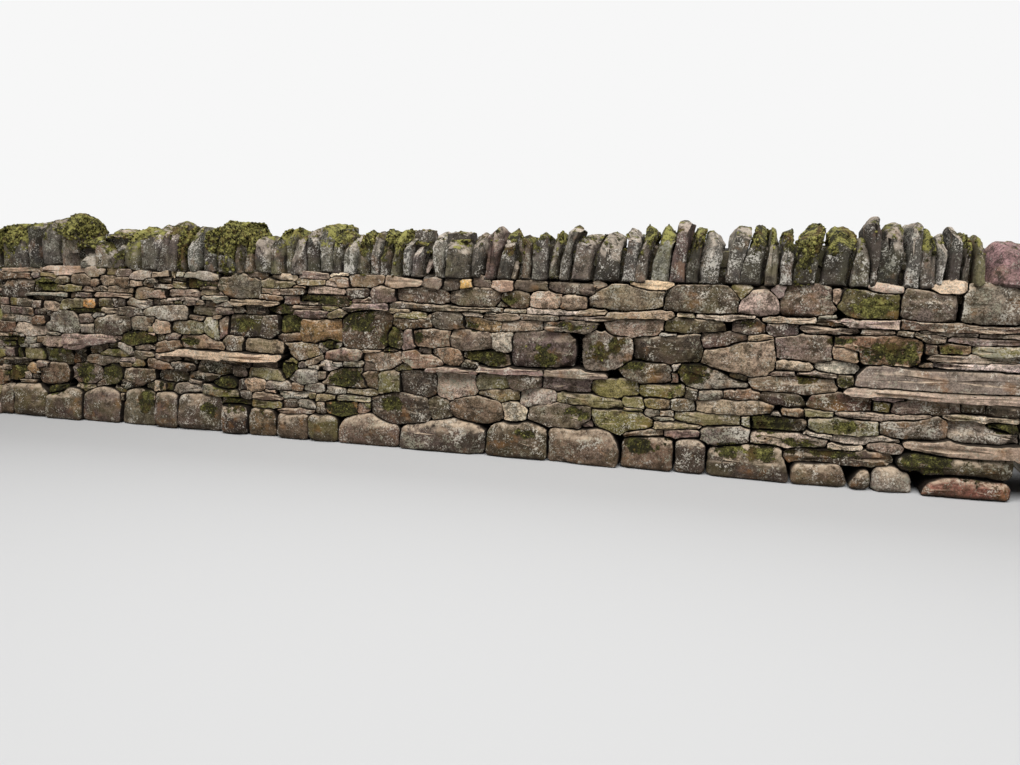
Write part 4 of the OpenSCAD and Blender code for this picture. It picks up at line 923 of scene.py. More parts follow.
def claim(owner, nearest, outline, number, reach=REACH):
    """Gives a stone the squares of the map that are nearer to it than to any other."""
    low = np.maximum(((outline.min(0) - reach - (LEFT_END, 0)) / SQUARE).astype(int), 0)
    high = ((outline.max(0) + reach - (LEFT_END, 0)) / SQUARE).astype(int) + 2
    high = np.minimum(high, (MAP_COLUMNS, MAP_ROWS))
    window = (slice(low[1], high[1]), slice(low[0], high[0]))
    columns, rows = np.meshgrid(np.arange(low[0], high[0]), np.arange(low[1], high[1]))
    away = distance_to(outline, LEFT_END + (columns + 0.5) * SQUARE, (rows + 0.5) * SQUARE)
    nearer = away < nearest[window]
    nearest[window][nearer] = away[nearer]
    owner[window][nearer] = number


def owner_at(owner, points):
    """The stone that owns the square under each point, or a mark for none or outside."""
    columns = np.floor((points[..., 0] - LEFT_END) / SQUARE).astype(int)
    rows = np.floor(points[..., 1] / SQUARE).astype(int)
    outside = (columns < 0) | (columns >= MAP_COLUMNS) | (rows < 0) | (rows >= MAP_ROWS)
    found = owner[np.clip(rows, 0, MAP_ROWS - 1), np.clip(columns, 0, MAP_COLUMNS - 1)]
    return np.where(outside, OUTSIDE, found)


print("map of the face:", MAP_COLUMNS, "by", MAP_ROWS, "squares")

# %% [markdown]
# Where the wall was out of the picture, its stones are laid by a waller's rule instead: in
# level courses, each with its own height and lengths of stone, so that one joint seldom stands
# over another. A second rule lays the few small stones, called pinnings, that fill whatever
# holes the big ones leave.

# %% Courses laid by rule
# In centimetres, as the outlines are.
COURSE_HEIGHTS = [3.5, 5.5, 7.5, 10.5]
RULE_KINDS = ["G", "B", "K", "P", "N", "GW", "BN", "W"]
THINNEST_COURSE = 2.5
SHORTEST_STONE = 6
chance = np.random.default_rng(41)


def courses(x0, x1, z0, z1):
    """Stones of a stretch of walling, laid in level courses, as lines like the ones read."""
    laid = []
    z = z0
    while z < z1 - 1:
        rise = min(chance.choice(COURSE_HEIGHTS), z1 - z)
        if z1 - z - rise < THINNEST_COURSE:
            rise = z1 - z
        x = x0
        while x < x1 - 1:
            run = chance.uniform(1.3, 3.2) * rise + 3
            if x1 - x - run < SHORTEST_STONE:
                run = x1 - x
            kind = chance.choice(RULE_KINDS)
            lift = chance.uniform(-0.5, 0.5, 2)
            laid.append((kind, x, z, x + 0.4, z + rise + lift[0], x + run - 0.4, z + rise + lift[1],
                         x + run, z))
            x += run
        z += rise
    return laid


RIGHT_STRETCH = courses(322, 346, 29, 49) + courses(338, 346, 49, 66) + courses(320, 346, 66, 106)
READ_STONES += [("face", line) for line in RIGHT_STRETCH]
print("stones laid by rule at the right:", len(RIGHT_STRETCH))

# %% Pinnings in the holes
PINNING_REACH = 0.07
# Pinnings take the dark D tones, in part a painted shade of the holes that they fill.
PINNING_KINDS = ["D", "DG", "DB", "DN", "DP"]
HEAD_STONES = 0.14
FILL_FROM, FILL_TO = 0.16, 1.03


def pinning(owner, x, z):
    """A small stone that fills the free squares round a point."""
    turns = np.linspace(0, 2 * math.pi, 12, endpoint=False)
    steps = np.arange(0.005, PINNING_REACH, 0.004)
    points = np.stack([x + np.cos(turns)[:, None] * steps * 1.4,
                       z + np.sin(turns)[:, None] * steps * 0.6], -1)
    blocked = owner_at(owner, points) != FREE
    blocked[:, -1] = True
    first = blocked.argmax(1)
    return points[np.arange(len(turns)), first][::-1]


def fill_holes(stones, owner, nearest, low_z, high_z):
    """Adds pinnings to the list until no hole wider than two centimetres is left."""
    added = 0
    for row in range(int(low_z / SQUARE), int(high_z / SQUARE), 2):
        for column in range(2, MAP_COLUMNS - 2, 2):
            x = LEFT_END + column * SQUARE
            z = row * SQUARE
            by_smoot = x > SMOOT_LEFT - 0.02 and z < FOOTING_TOP
            around = owner[row - 1:row + 2, column - 2:column + 3]
            if by_smoot or (around != FREE).any() or abs(x) > RIGHT_END - HEAD_STONES:
                continue
            outline = pinning(owner, x, z)
            stones.append({"role": "face", "kind": chance.choice(PINNING_KINDS), "outline": outline})
            claim(owner, nearest, outline, len(stones) - 1)
            added += 1
    return added


stones = [{"role": role, "kind": line[0], "outline": as_corners(line[1:])}
          for role, line in READ_STONES]
face_owner = np.full((MAP_ROWS, MAP_COLUMNS), FREE)
face_nearest = np.full((MAP_ROWS, MAP_COLUMNS), REACH)
for number, stone in enumerate(stones):
    claim(face_owner, face_nearest, stone["outline"], number)
pinnings = fill_holes(stones, face_owner, face_nearest, FILL_FROM, FILL_TO)
print("pinnings:", pinnings, "stones on a face:", len(stones))

# %% [markdown]
# A fitted outline starts as the one that was read, with its corners worn round. Each of its
# points then moves along its own outward direction to the last square that the stone owns,
# and half a joint back. Smoothing that movement keeps the squares of the map from showing.

# %% Wearing, spacing and growing an outline
JOINT = 0.002
CUT_CORNER = 0.0035
BOULDER_CUT, BOULDER_JOINT, BOULDER_REACH = 0.024, 0.003, 0.012
NEAR_SPACING, FAR_SPACING = 0.013, 0.024
RAGGED = 0.0014


def worn(outline, cut):
    """The outline with its corners cut off, each by a set length or a third of a short side."""
    ahead = np.roll(outline, -1, axis=0)
    share = np.minimum(cut / np.maximum(np.hypot(*(ahead - outline).T), 1e-6), 0.33)[:, None]
    cuts = [outline + (ahead - outline) * share, ahead + (outline - ahead) * share]
    return np.stack(cuts, 1).reshape(-1, 2)


def spaced(outline, gap):
    """The outline's own corners, and evenly spaced points between them on long sides."""
    parts = []
    for start, end in zip(outline, np.roll(outline, -1, axis=0)):
        count = max(1, round(float(np.hypot(*(end - start))) / gap))
        parts.append(start + (end - start) * (np.arange(count) / count)[:, None])
    return np.concatenate(parts)


def outward(outline):
    """The outward direction at each point of an outline that runs clockwise."""
    tangent = np.roll(outline, -1, axis=0) - np.roll(outline, 1, axis=0)
    normal = np.stack([-tangent[:, 1], tangent[:, 0]], -1)
    return normal / np.maximum(np.hypot(*normal.T), 1e-9)[:, None]


def girth(outline):
    """A stone's mean thickness in its outline: for a long slab, about its height."""
    x, z = outline.T
    area = abs(np.sum(x * np.roll(z, -1) - np.roll(x, -1) * z)) / 2
    around = np.hypot(*(outline - np.roll(outline, 1, axis=0)).T).sum()
    return 4 * area / around / (1 + 4 * area / around ** 2 * 2)


def grown(outline, owner, number, gap, cut, joint=JOINT, most=REACH, free_grows=True):
    """The outline moved out to its neighbours, less half a joint, with slightly ragged sides."""
    points = spaced(worn(worn(outline, cut), cut * 0.4), gap)
    normal = outward(points)
    steps = np.arange(-0.3 * min(girth(points), 0.05), most, SQUARE / 3)
    probes = points[:, None] + normal[:, None] * steps[:, None]
    found = owner_at(owner, probes)
    own = found == number
    start = own.argmax(1)
    after = own | (np.arange(len(steps)) < start[:, None])
    stop = np.where(after.all(1), len(steps) - 1, after.argmin(1))
    move = np.where(own.any(1), steps[stop], steps[0]) - joint * chance.uniform(0.2, 2.0)
    if not free_grows:
        met = found[np.arange(len(points)), np.minimum(stop + 1, len(steps) - 1)]
        move = np.where((met < 0) & (move > 0), 0, move)
    move = (np.roll(move, 1) + 2 * move + np.roll(move, -1)) / 4
    move = move - np.abs(chance.normal(0, RAGGED, len(points)))
    return points + normal * move[:, None]


for number, stone in enumerate(stones):
    cut, joint, most = CUT_CORNER, JOINT, REACH
    if stone["role"] == "footing":
        cut, joint, most = BOULDER_CUT, BOULDER_JOINT, BOULDER_REACH
    stone["fitted"] = grown(stone["outline"], face_owner, number, NEAR_SPACING, cut, joint, most)
    stone["coarse"] = grown(stone["outline"], face_owner, number, FAR_SPACING, cut, joint, most)
print("points in the fitted outlines:", sum(len(stone["fitted"]) for stone in stones))

# %% [markdown]
# What a stone is made of shows in its colour, and what grows on it in patches over that. So
# each stone carries a few values that its material reads: the tint of its rock, how much
# moss, lichen and algae it has, a seed, and how deep each of its points lies in a joint.
# One material can then dress hundreds of stones, and no two of them look alike.

# %% Rock and growth of a stone
# Rock: S pale, in part a painted highlight on thin slabs lit from above; K buff, G grey,
# B brown, C dark; D dark, in part painted shade of a recess; E black, a painted shadow of a
# deep recess; P purple, V rose grey, O orange, R red, Z rose. Growth: N green with algae,
# M mossy, W white with lichen. A + stands proud of the face, two of them further, and a D or
# an E lies back in it.
TONES = {"S": (232, 210, 192), "K": (168, 144, 122), "G": (118, 104, 92), "B": (122, 97, 77),
         "C": (78, 67, 58), "D": (78, 67, 58), "E": (30, 24, 20), "P": (117, 99, 92),
         "V": (152, 134, 127), "O": (186, 136, 82), "R": (152, 92, 84), "Z": (230, 152, 156)}
GROWTHS = {"N": (132, 122, 78), "M": (96, 84, 62), "W": (142, 134, 122)}
ROCK_SHARE, GROWTH_SHARE = 0.66, 0.34
BARE_BOULDER = -0.5, 0.0


def linear(colour):
    """A colour in the 0 to 255 of a paint program, as the light it stands for."""
    part = np.asarray(colour, float) / 255
    return np.where(part <= 0.04045, part / 12.92, ((part + 0.055) / 1.055) ** 2.4)


def traits(kind, dice):
    """The values a stone carries for its material, from the letters of its kind."""
    rocks = [TONES[letter] for letter in kind if letter in TONES]
    growths = [GROWTHS[letter] for letter in kind if letter in GROWTHS]
    tint = np.mean(rocks or growths, axis=0)
    if rocks and growths:
        tint = ROCK_SHARE * tint + GROWTH_SHARE * np.mean(growths, axis=0)
    tint = tint * dice.uniform(0.84, 1.14) * (1 + dice.uniform(-0.025, 0.025, 3))
    moss = dice.uniform(0.0, 0.25)
    if "M" in kind:
        moss = dice.uniform(0.95, 1.2) if kind[0] == "M" else dice.uniform(0.6, 0.8)
    elif "N" in kind:
        moss = 0.35
    lichen = dice.uniform(0.75, 1.0) if "W" in kind else dice.uniform(0.1, 0.5)
    if kind == "Z":
        moss, lichen = BARE_BOULDER
    algae = dice.uniform(0.6, 0.9) if "N" in kind else dice.uniform(0.0, 0.4)
    return {"tint": linear(np.clip(tint, 0, 255)), "growth": (moss, lichen, algae),
            "seed": dice.uniform(0, 50)}


class Pile:
    """Stones gathered for one piece, as arrays that become a mesh in the end."""

    def __init__(self):
        self.points = []
        self.quads = []
        self.triangles = []
        self.insets = []
        self.tints = []
        self.growths = []
        self.seeds = []
        self.count = 0

    def add(self, points, quads, triangles, insets, trait, flip=False, moss=0.0):
        """Adds one stone's points and faces, what it carries for its material, and more moss."""
        quads = np.asarray(quads, int).reshape(-1, 4)
        triangles = np.asarray(triangles, int).reshape(-1, 3)
        if flip:
            quads = quads[:, ::-1]
            triangles = triangles[:, ::-1]
        self.points.append(points)
        self.quads.append(quads + self.count)
        self.triangles.append(triangles + self.count)
        self.insets.append(insets)
        self.tints.append(np.tile(np.append(trait["tint"], 1.0), (len(points), 1)))
        growth = np.tile(trait["growth"], (len(points), 1))
        growth[:, 0] = np.clip(growth[:, 0] + moss, 0, 1.5)
        self.growths.append(growth)
        self.seeds.append(np.full(len(points), trait["seed"]))
        self.count += len(points)

    def mesh(self, name):
        """The gathered stones as one mesh with named attributes."""
        data = bpy.data.meshes.new(name)
        faces = [tuple(face) for part in self.quads + self.triangles for face in part.tolist()]
        data.from_pydata(np.concatenate(self.points).tolist(), [], faces)
        for label, kind, key, values in (("inset", "FLOAT", "value", self.insets),
                                         ("seed", "FLOAT", "value", self.seeds),
                                         ("tint", "FLOAT_COLOR", "color", self.tints),
                                         ("growth", "FLOAT_VECTOR", "vector", self.growths)):
            layer = data.attributes.new(label, kind, "POINT")
            layer.data.foreach_set(key, np.concatenate(values).astype(np.float32).ravel())
        return data


print("tones of rock:", len(TONES), "growths:", len(GROWTHS))

# %% [markdown]
# A stone of the skins is a lid with walls behind it. Rings of points run round its outline,
# each a little further in, down to a short line in its middle. The outermost rings turn the
# edge over, and the rings behind them go back into the wall. A few planes then cut across
# the lid, since field stones break flat and are worn only at their edges.

# %% One stone of the skins
# Lengths in metres, shares of a stone's own reach, and counts.
SIDE_DEPTH = 0.105
LIP_DEPTH = 0.034
WORN_EDGE = 0.0045
BOULDER_EDGE = 0.012
BOULDER_BULGE = 0.015
THIN_LEAST = 0.12
MIDDLE_SHARE = 0.1
MOST_RINGS = 7
MOST_TILT = 0.07
DEEPEST_CHIP = 0.026
PATCH_MOSS = 1.3
PATCH_RIM = 1.4


def patch_moss(flat):
    """How much moss the patches that were read lay on points of the near face."""
    more = np.zeros(len(flat))
    for x, z, wide, high in MOSS_PATCHES:
        away = np.hypot((flat[:, 0] * 100 - x) / wide, (flat[:, 1] * 100 - z) / high)
        more = np.maximum(more, PATCH_MOSS * np.clip(PATCH_RIM - away, 0, 1))
    return more


def middle_line(outline):
    """Where each point of an outline falls on the stone's middle line."""
    centre = (outline.min(0) + outline.max(0)) / 2
    offset = outline - outline.mean(0)
    axis = np.linalg.eigh(offset.T @ offset)[1][:, 1]
    along = (outline - centre) @ axis
    across = (outline - centre) @ np.array([-axis[1], axis[0]])
    half = max(0.0, (np.ptp(along) - np.ptp(across)) / 2) * 0.94
    return centre, centre + np.clip(along, -half, half)[:, None] * axis


def ring_quads(rings, points):
    """Quads between each ring and the next, all with as many points."""
    start = np.arange(rings - 1)[:, None] * points
    step = np.arange(points)[None, :]
    ahead = (step + 1) % points
    return np.stack([start + step, start + ahead, start + points + ahead, start + points + step],
                    -1).reshape(-1, 4)


def chipped(points, centre, reach, dice, broad, small):
    """How far planes cut into a stone's face: broad ones near its middle, small ones at corners."""
    low = np.zeros(len(points))
    for number in range(broad + small):
        turn = dice.uniform(0, 2 * math.pi)
        direction = np.array([math.cos(turn), math.sin(turn)])
        across = np.abs(direction) @ reach
        if number < broad:
            limit, slope = across * dice.uniform(-0.1, 0.6), dice.uniform(0.05, 0.2)
        else:
            limit, slope = across * dice.uniform(0.62, 0.92), dice.uniform(0.4, 1.1)
        low -= slope * np.maximum((points - centre) @ direction - limit, 0)
    return np.maximum(low, -DEEPEST_CHIP)


def face_stone(pile, outline, kind, dice, stand, bulge, depth, back, step):
    """Adds one stone of a skin: its lid, its worn edge and the sides that go into the wall."""
    centre, middle = middle_line(outline)
    spoke = outline - middle
    length = np.maximum(np.hypot(*spoke.T), 1e-4)
    mean = length.mean()
    count = len(outline)
    worn_edge = min(WORN_EDGE if bulge < BOULDER_BULGE else BOULDER_EDGE, mean * 0.35)
    wave = np.sin(np.arange(count) / count * 2 * math.pi * dice.integers(2, 5) + dice.uniform(0, 6))
    edge = worn_edge * (0.6 + 0.35 * wave) + 0.002
    inner_count = int(np.clip(round((mean - worn_edge) / step), 1, MOST_RINGS))
    shrinks = [0.010, 0.0015, 0.0, worn_edge * 0.32, worn_edge]
    drops = [-depth * np.ones(count), -LIP_DEPTH - edge, -edge, -edge * 0.36, -edge * 0.05]
    # How deep each ring lies in the joint; the material also paints shade by it.
    insets = [1.0, 1.0, 0.55, 0.06, 0.0]
    shares = [np.maximum(1 - shrink / length, THIN_LEAST) for shrink in shrinks]
    for number in range(1, inner_count):
        fade = number / inner_count
        shares.append(shares[4] * (1 - fade) + MIDDLE_SHARE * fade)
        drops.append(np.zeros(count))
        insets.append(0.0)
    flat = np.concatenate([middle + spoke * share[:, None] for share in shares] + [centre[None]])
    drop = np.concatenate(drops + [np.zeros(1)])
    share = np.concatenate(shares + [np.zeros(1)])
    inset = np.concatenate([np.full(count, value) for value in insets] + [np.zeros(1)])
    reach = np.ptp(outline, axis=0) / 2
    tilt = dice.uniform(-MOST_TILT, MOST_TILT, 2) * np.minimum(1, 0.12 / np.maximum(reach, 0.03))
    front = inset < 0.9
    out = stand + drop + bulge * (1 - share ** 2) * front
    out = out + ((flat - centre) @ tilt) * (inset < 0.99)
    broad, small = dice.integers(1, 4), dice.integers(1, 5)
    out = out + chipped(flat, centre, reach, dice, broad, small) * (inset < 0.99)
    z = np.maximum(flat[:, 1], 0.0)
    side = 1 if back else -1
    points = np.stack([flat[:, 0], side * (half_width(z) + out), z], -1)
    rings = len(shares)
    last = (rings - 1) * count
    steps = np.arange(count)
    lid = np.stack([last + steps, last + (steps + 1) % count, np.full(count, rings * count)], -1)
    bottom = [(0, number + 1, number) for number in range(1, count - 1)]
    pile.add(points, ring_quads(rings, count), np.concatenate([lid, np.array(bottom)]), inset,
             traits(kind, dice), flip=back, moss=0.0 if back else patch_moss(flat))


print("rings turn over the edge and go", SIDE_DEPTH * 1000, "mm into the wall")

# %% [markdown]
# Long blocks close the wall's two ends. A block is a box whose faces are grids. Points near
# its edges are drawn in towards an inner box, which rounds the edges, and then its corners
# are pulled about a little and planes shear off what a mason's hammer would.

# %% A block with worn edges
BLOCK_EDGE = 0.012
BLOCK_GAP = 0.03
BLOCK_CUTS = 5
DEEPEST_CUT = 0.04


def block_grid(size, gap):
    """Points and quads over the six faces of a box about the origin, welded at its edges."""
    counts = np.maximum(np.round(np.asarray(size) / gap).astype(int), 2)
    points = []
    quads = []
    base = 0
    for axis in range(3):
        first, second = (axis + 1) % 3, (axis + 2) % 3
        u = np.linspace(-1, 1, counts[first] + 1)
        v = np.linspace(-1, 1, counts[second] + 1)
        for sign in (-1, 1):
            sheet = np.zeros((len(u), len(v), 3))
            sheet[..., axis] = sign
            sheet[..., first] = u[:, None]
            sheet[..., second] = v[None, :]
            index = base + np.arange(len(u) * len(v)).reshape(len(u), len(v))
            square = np.stack([index[:-1, :-1], index[1:, :-1], index[1:, 1:], index[:-1, 1:]], -1)
            quads.append(square.reshape(-1, 4)[:, ::sign])
            points.append(sheet.reshape(-1, 3))
            base += len(u) * len(v)
    points = np.concatenate(points)
    _, first_use, weld = np.unique(np.round(points, 6), axis=0, return_index=True, return_inverse=True)
    return points[first_use], weld.ravel()[np.concatenate(quads)]


def sheared(points, centre, reach, dice, cuts, up_only=False, deepest=1.0):
    """Points moved back to a few slanting planes, none of them cut deeper than the deepest."""
    for _ in range(cuts):
        direction = dice.normal(size=3) * (1.0, 0.8, 1.0)
        if up_only:
            direction[2] = abs(direction[2]) + 0.3
        direction = direction / np.linalg.norm(direction)
        limit = np.linalg.norm(direction * reach) * dice.uniform(0.78, 0.97)
        limit = max(limit, np.abs(direction) @ reach - deepest)
        over = np.maximum((points - centre) @ direction - limit, 0)
        points = points - over[:, None] * direction * 0.85
    return points


def block_stone(pile, low, high, kind, dice, edge=BLOCK_EDGE, gap=BLOCK_GAP, cuts=BLOCK_CUTS):
    """Adds a block between two corners; its faces to front and back lean with the wall's."""
    low, high = np.array(low, float), np.array(high, float)
    size = high - low
    grid, quads = block_grid(size, gap)
    half = size / 2
    inner = np.maximum(half - edge, 0.002)
    points = grid * half
    core = np.clip(points, -inner, inner)
    offset = points - core
    far = np.linalg.norm(offset, axis=1)
    points = core + offset * (edge / np.maximum(far, edge))[:, None]
    points = points * (1 + dice.uniform(-0.03, 0.03, 3) * grid[:, [1, 2, 0]])
    points = sheared(points, np.zeros(3), half, dice, cuts, deepest=DEEPEST_CUT) + (low + high) / 2
    lean = 1 - BATTER * (points[:, 2] - low[2]) / half_width(low[2])
    points[:, 1] *= lean
    points[:, 2] = np.maximum(points[:, 2], 0.0)
    pile.add(points, quads, [], np.zeros(len(points)), traits(kind, dice))


print("faces on a head stone's grid:", len(block_grid((0.14, 0.6, 0.12), BLOCK_GAP)[1]))

# %% [markdown]
# Weather shapes stone at three sizes: lumps as wide as a hand, ledges where the beds of the
# rock wear back, and grain. A Geometry Nodes tree does this for every stone at once, since
# each point can read its stone's seed and so gets a relief of its own. A second tree grows
# moss: small cushions, thick where a stone faces up and where its moss value is high.

# %% Sums on node sockets
class Sum:
    """A node socket, or a number, in a tree where sums are written as sums."""

    def __init__(self, tree, socket):
        self.tree = tree
        self.socket = socket

    def apply(self, operation, *others):
        """A Math node with this value first."""
        return self.tree.maths(operation, self, *others)

    def __add__(self, other):
        return self.apply("ADD", other)

    def __radd__(self, other):
        return self.apply("ADD", other)

    def __sub__(self, other):
        return self.apply("SUBTRACT", other)

    def __rsub__(self, other):
        return self.tree.maths("SUBTRACT", other, self)

    def __mul__(self, other):
        return self.apply("MULTIPLY", other)

    def __rmul__(self, other):
        return self.apply("MULTIPLY", other)


class Tree:
    """Adds nodes to a shader or Geometry Nodes tree."""

    def __init__(self, tree):
        self.tree = tree
        self.maths_kind = "ShaderNodeMath"

    def node(self, kind, settings=None, inputs=None):
        """A node of a kind: its settings first, then its inputs by name or number."""
        node = self.tree.nodes.new(kind)
        for name, value in (settings or {}).items():
            setattr(node, name, value)
        for name, value in (inputs or {}).items():
            self.feed(node.inputs[name], value)
        return node

    def feed(self, socket, value):
        """Links or sets one socket."""
        if isinstance(value, Sum):
            self.tree.links.new(value.socket, socket)
        elif isinstance(value, bpy.types.NodeSocket):
            self.tree.links.new(value, socket)
        else:
            socket.default_value = value

    def maths(self, operation, *values):
        """A Math node over one to three values."""
        node = self.node(self.maths_kind, {"operation": operation}, dict(enumerate(values)))
        return Sum(self, node.outputs[0])

    def step(self, value, low, high):
        """Nought below low, one above high and a smooth rise between."""
        node = self.node("ShaderNodeMapRange", {"interpolation_type": "SMOOTHSTEP"},
                         {"Value": value, "From Min": low, "From Max": high})
        return Sum(self, node.outputs["Result"])

    def noise(self, vector, scale, seed=None, detail=3.0, rough=0.55, bend=0.0):
        """Noise in space, or in space and seed where a seed is given."""
        inputs = {"Vector": vector, "Scale": scale, "Detail": detail, "Roughness": rough,
                  "Distortion": bend}
        if seed is not None:
            inputs["W"] = seed
        node = self.node("ShaderNodeTexNoise", {"noise_dimensions": "4D" if seed is not None else "3D"},
                         inputs)
        return Sum(self, node.outputs[0])

    def scaled(self, vector, amounts):
        """A vector with each part multiplied."""
        node = self.node("ShaderNodeVectorMath", {"operation": "MULTIPLY"}, {0: vector, 1: amounts})
        return node.outputs[0]

    def times(self, vector, amount):
        """A vector or colour multiplied by a value."""
        node = self.node("ShaderNodeVectorMath", {"operation": "SCALE"},
                         {"Vector": vector, "Scale": amount})
        return node.outputs[0]

    def parts(self, vector):
        """The three parts of a vector."""
        node = self.node("ShaderNodeSeparateXYZ", None, {"Vector": vector})
        return [Sum(self, output) for output in node.outputs]

    def mixed(self, share, first, second):
        """A colour between two colours."""
        node = self.node("ShaderNodeMix", {"data_type": "RGBA", "clamp_factor": True})
        self.feed(node.inputs[0], share)
        self.feed(node.inputs[6], first)
        self.feed(node.inputs[7], second)
        return node.outputs[2]


print("operations ready:", [name for name in vars(Sum) if name.startswith("__") and "add" in name])

# %% Helpers for Geometry Nodes
def new_tree(name, inputs):
    """A Geometry Nodes tree with named inputs; gives the tree, its nodes and their sockets."""
    group = bpy.data.node_groups.new(name, "GeometryNodeTree")
    group.interface.new_socket("Geometry", in_out="INPUT", socket_type="NodeSocketGeometry")
    group.interface.new_socket("Geometry", in_out="OUTPUT", socket_type="NodeSocketGeometry")
    for label, kind in inputs:
        group.interface.new_socket(label, in_out="INPUT", socket_type=kind)
    tree = Tree(group)
    given = tree.node("NodeGroupInput")
    sockets = {label: given.outputs[label] for label, _ in [("Geometry", None)] + list(inputs)}
    sums = {label: Sum(tree, socket) for label, socket in sockets.items()}
    return group, tree, sums


def attribute(tree, name, kind="FLOAT"):
    """A named attribute of the stones."""
    node = tree.node("GeometryNodeInputNamedAttribute", {"data_type": kind}, {"Name": name})
    return node.outputs["Attribute"]


def with_tree(item, group, values):
    """Puts a tree on an object, with its inputs set by their identifiers."""
    modifier = item.modifiers.new(group.name, "NODES")
    modifier.node_group = group
    for socket in group.interface.items_tree:
        if socket.in_out == "INPUT" and socket.name in values:
            modifier[socket.identifier] = values[socket.name]


def settled(item):
    """Turns an object's modifiers into plain mesh."""
    view = bpy.context.evaluated_depsgraph_get()
    item_now = item.evaluated_get(view)
    mesh = bpy.data.meshes.new_from_object(item_now, preserve_all_data_layers=True, depsgraph=view)
    old = item.data
    item.modifiers.clear()
    item.data = mesh
    bpy.data.meshes.remove(old)


print("helpers ready:", [helper.__name__ for helper in (new_tree, attribute, with_tree, settled)])

# %% The tree that weathers stones
def weather_tree():
    """Lumps, ledges and grain along each point's normal, none in the joints or at the floor."""
    group, tree, given = new_tree("weather", [
        ("Lumps", "NodeSocketFloat"), ("Ledges", "NodeSocketFloat"), ("Grain", "NodeSocketFloat"),
        ("Moss", "NodeSocketFloat"), ("Bedding", "NodeSocketVector"), ("Stone", "NodeSocketMaterial")])
    place = tree.node("GeometryNodeInputPosition").outputs[0]
    normal = tree.node("GeometryNodeInputNormal").outputs[0]
    seed = Sum(tree, attribute(tree, "seed"))
    inset = Sum(tree, attribute(tree, "inset"))
    moss = tree.parts(attribute(tree, "growth", "FLOAT_VECTOR"))[0]
    lump = (tree.noise(place, 8.0, seed, 2.0) - 0.5) * given["Lumps"]
    bedded = tree.scaled(place, given["Bedding"])
    ledge = (tree.step(tree.noise(bedded, 1.0, seed, 1.0), 0.44, 0.56) - 0.5) * given["Ledges"]
    grain = (tree.noise(place, 42.0, seed, 2.0) - 0.5) * given["Grain"]
    puff = tree.noise(place, 30.0, seed, 1.0) * moss * given["Moss"]
    shown = (1 - inset) * tree.step(tree.parts(place)[2], -0.001, 0.03)
    offset = tree.times(normal, (lump + ledge + grain + puff) * shown)
    moved = tree.node("GeometryNodeSetPosition", None,
                      {"Geometry": given["Geometry"], "Offset": offset}).outputs[0]
    real = tree.node("GeometryNodeRealizeInstances", None, {"Geometry": moved}).outputs[0]
    dressed = tree.node("GeometryNodeSetMaterial", None,
                        {"Geometry": real, "Material": given["Stone"]}).outputs[0]
    tree.node("NodeGroupOutput", None, {"Geometry": dressed})
    return group


WEATHER = weather_tree()
print("weather inputs:", [socket.name for socket in WEATHER.interface.items_tree])

# %% The tree that grows moss
def moss_tree():
    """Small cushions strewn where stones face up and carry moss, joined to the stones."""
    group, tree, given = new_tree("moss", [
        ("Density", "NodeSocketFloat"), ("Size", "NodeSocketFloat"), ("Seed", "NodeSocketInt"),
        ("Bare", "NodeSocketFloat"), ("Rise", "NodeSocketFloat"), ("Cover", "NodeSocketMaterial")])
    normal = tree.node("GeometryNodeInputNormal").outputs[0]
    place = tree.node("GeometryNodeInputPosition").outputs[0]
    up = tree.parts(normal)[2]
    seed = Sum(tree, attribute(tree, "seed"))
    inset = Sum(tree, attribute(tree, "inset"))
    moss = tree.parts(attribute(tree, "growth", "FLOAT_VECTOR"))[0]
    patch = tree.noise(place, 16.0, seed + 41.0, 5.0, 0.68) - 0.5
    chance_here = tree.step(moss * 0.5 + up * given["Rise"] + patch * 1.9, given["Bare"],
                            given["Bare"] + 0.14) * (1 - inset)
    strewn = tree.node("GeometryNodeDistributePointsOnFaces", {"distribute_method": "RANDOM"},
                       {"Mesh": given["Geometry"], "Density": chance_here * given["Density"],
                        "Seed": given["Seed"]})
    ball = tree.node("GeometryNodeMeshIcoSphere", None, {"Radius": 1.0, "Subdivisions": 1}).outputs[0]
    smooth = tree.node("GeometryNodeSetShadeSmooth", None, {"Geometry": ball}).outputs[0]
    size = tree.node("FunctionNodeRandomValue", {"data_type": "FLOAT"},
                     {2: 0.35, 3: 1.0, "Seed": 3})
    cushions = tree.node("GeometryNodeInstanceOnPoints", None,
                         {"Points": strewn.outputs["Points"], "Instance": smooth,
                          "Rotation": strewn.outputs["Rotation"],
                          "Scale": tree.times((1.0, 1.0, 0.6), Sum(tree, size.outputs[1]) * given["Size"])})
    shade = tree.node("FunctionNodeRandomValue", {"data_type": "FLOAT"}, {2: 0.0, 3: 1.0, "Seed": 8})
    marked = tree.node("GeometryNodeStoreNamedAttribute", {"data_type": "FLOAT", "domain": "INSTANCE"},
                       {"Geometry": cushions.outputs[0], "Name": "seed",
                        "Value": shade.outputs[1]}).outputs[0]
    real = tree.node("GeometryNodeRealizeInstances", None, {"Geometry": marked}).outputs[0]
    dressed = tree.node("GeometryNodeSetMaterial", None,
                        {"Geometry": real, "Material": given["Cover"]}).outputs[0]
    joined = tree.node("GeometryNodeJoinGeometry")
    tree.tree.links.new(dressed, joined.inputs[0])
    tree.tree.links.new(given["Geometry"].socket, joined.inputs[0])
    tree.node("NodeGroupOutput", None, {"Geometry": joined.outputs[0]})
    return group


MOSS = moss_tree()
print("moss inputs:", [socket.name for socket in MOSS.interface.items_tree])

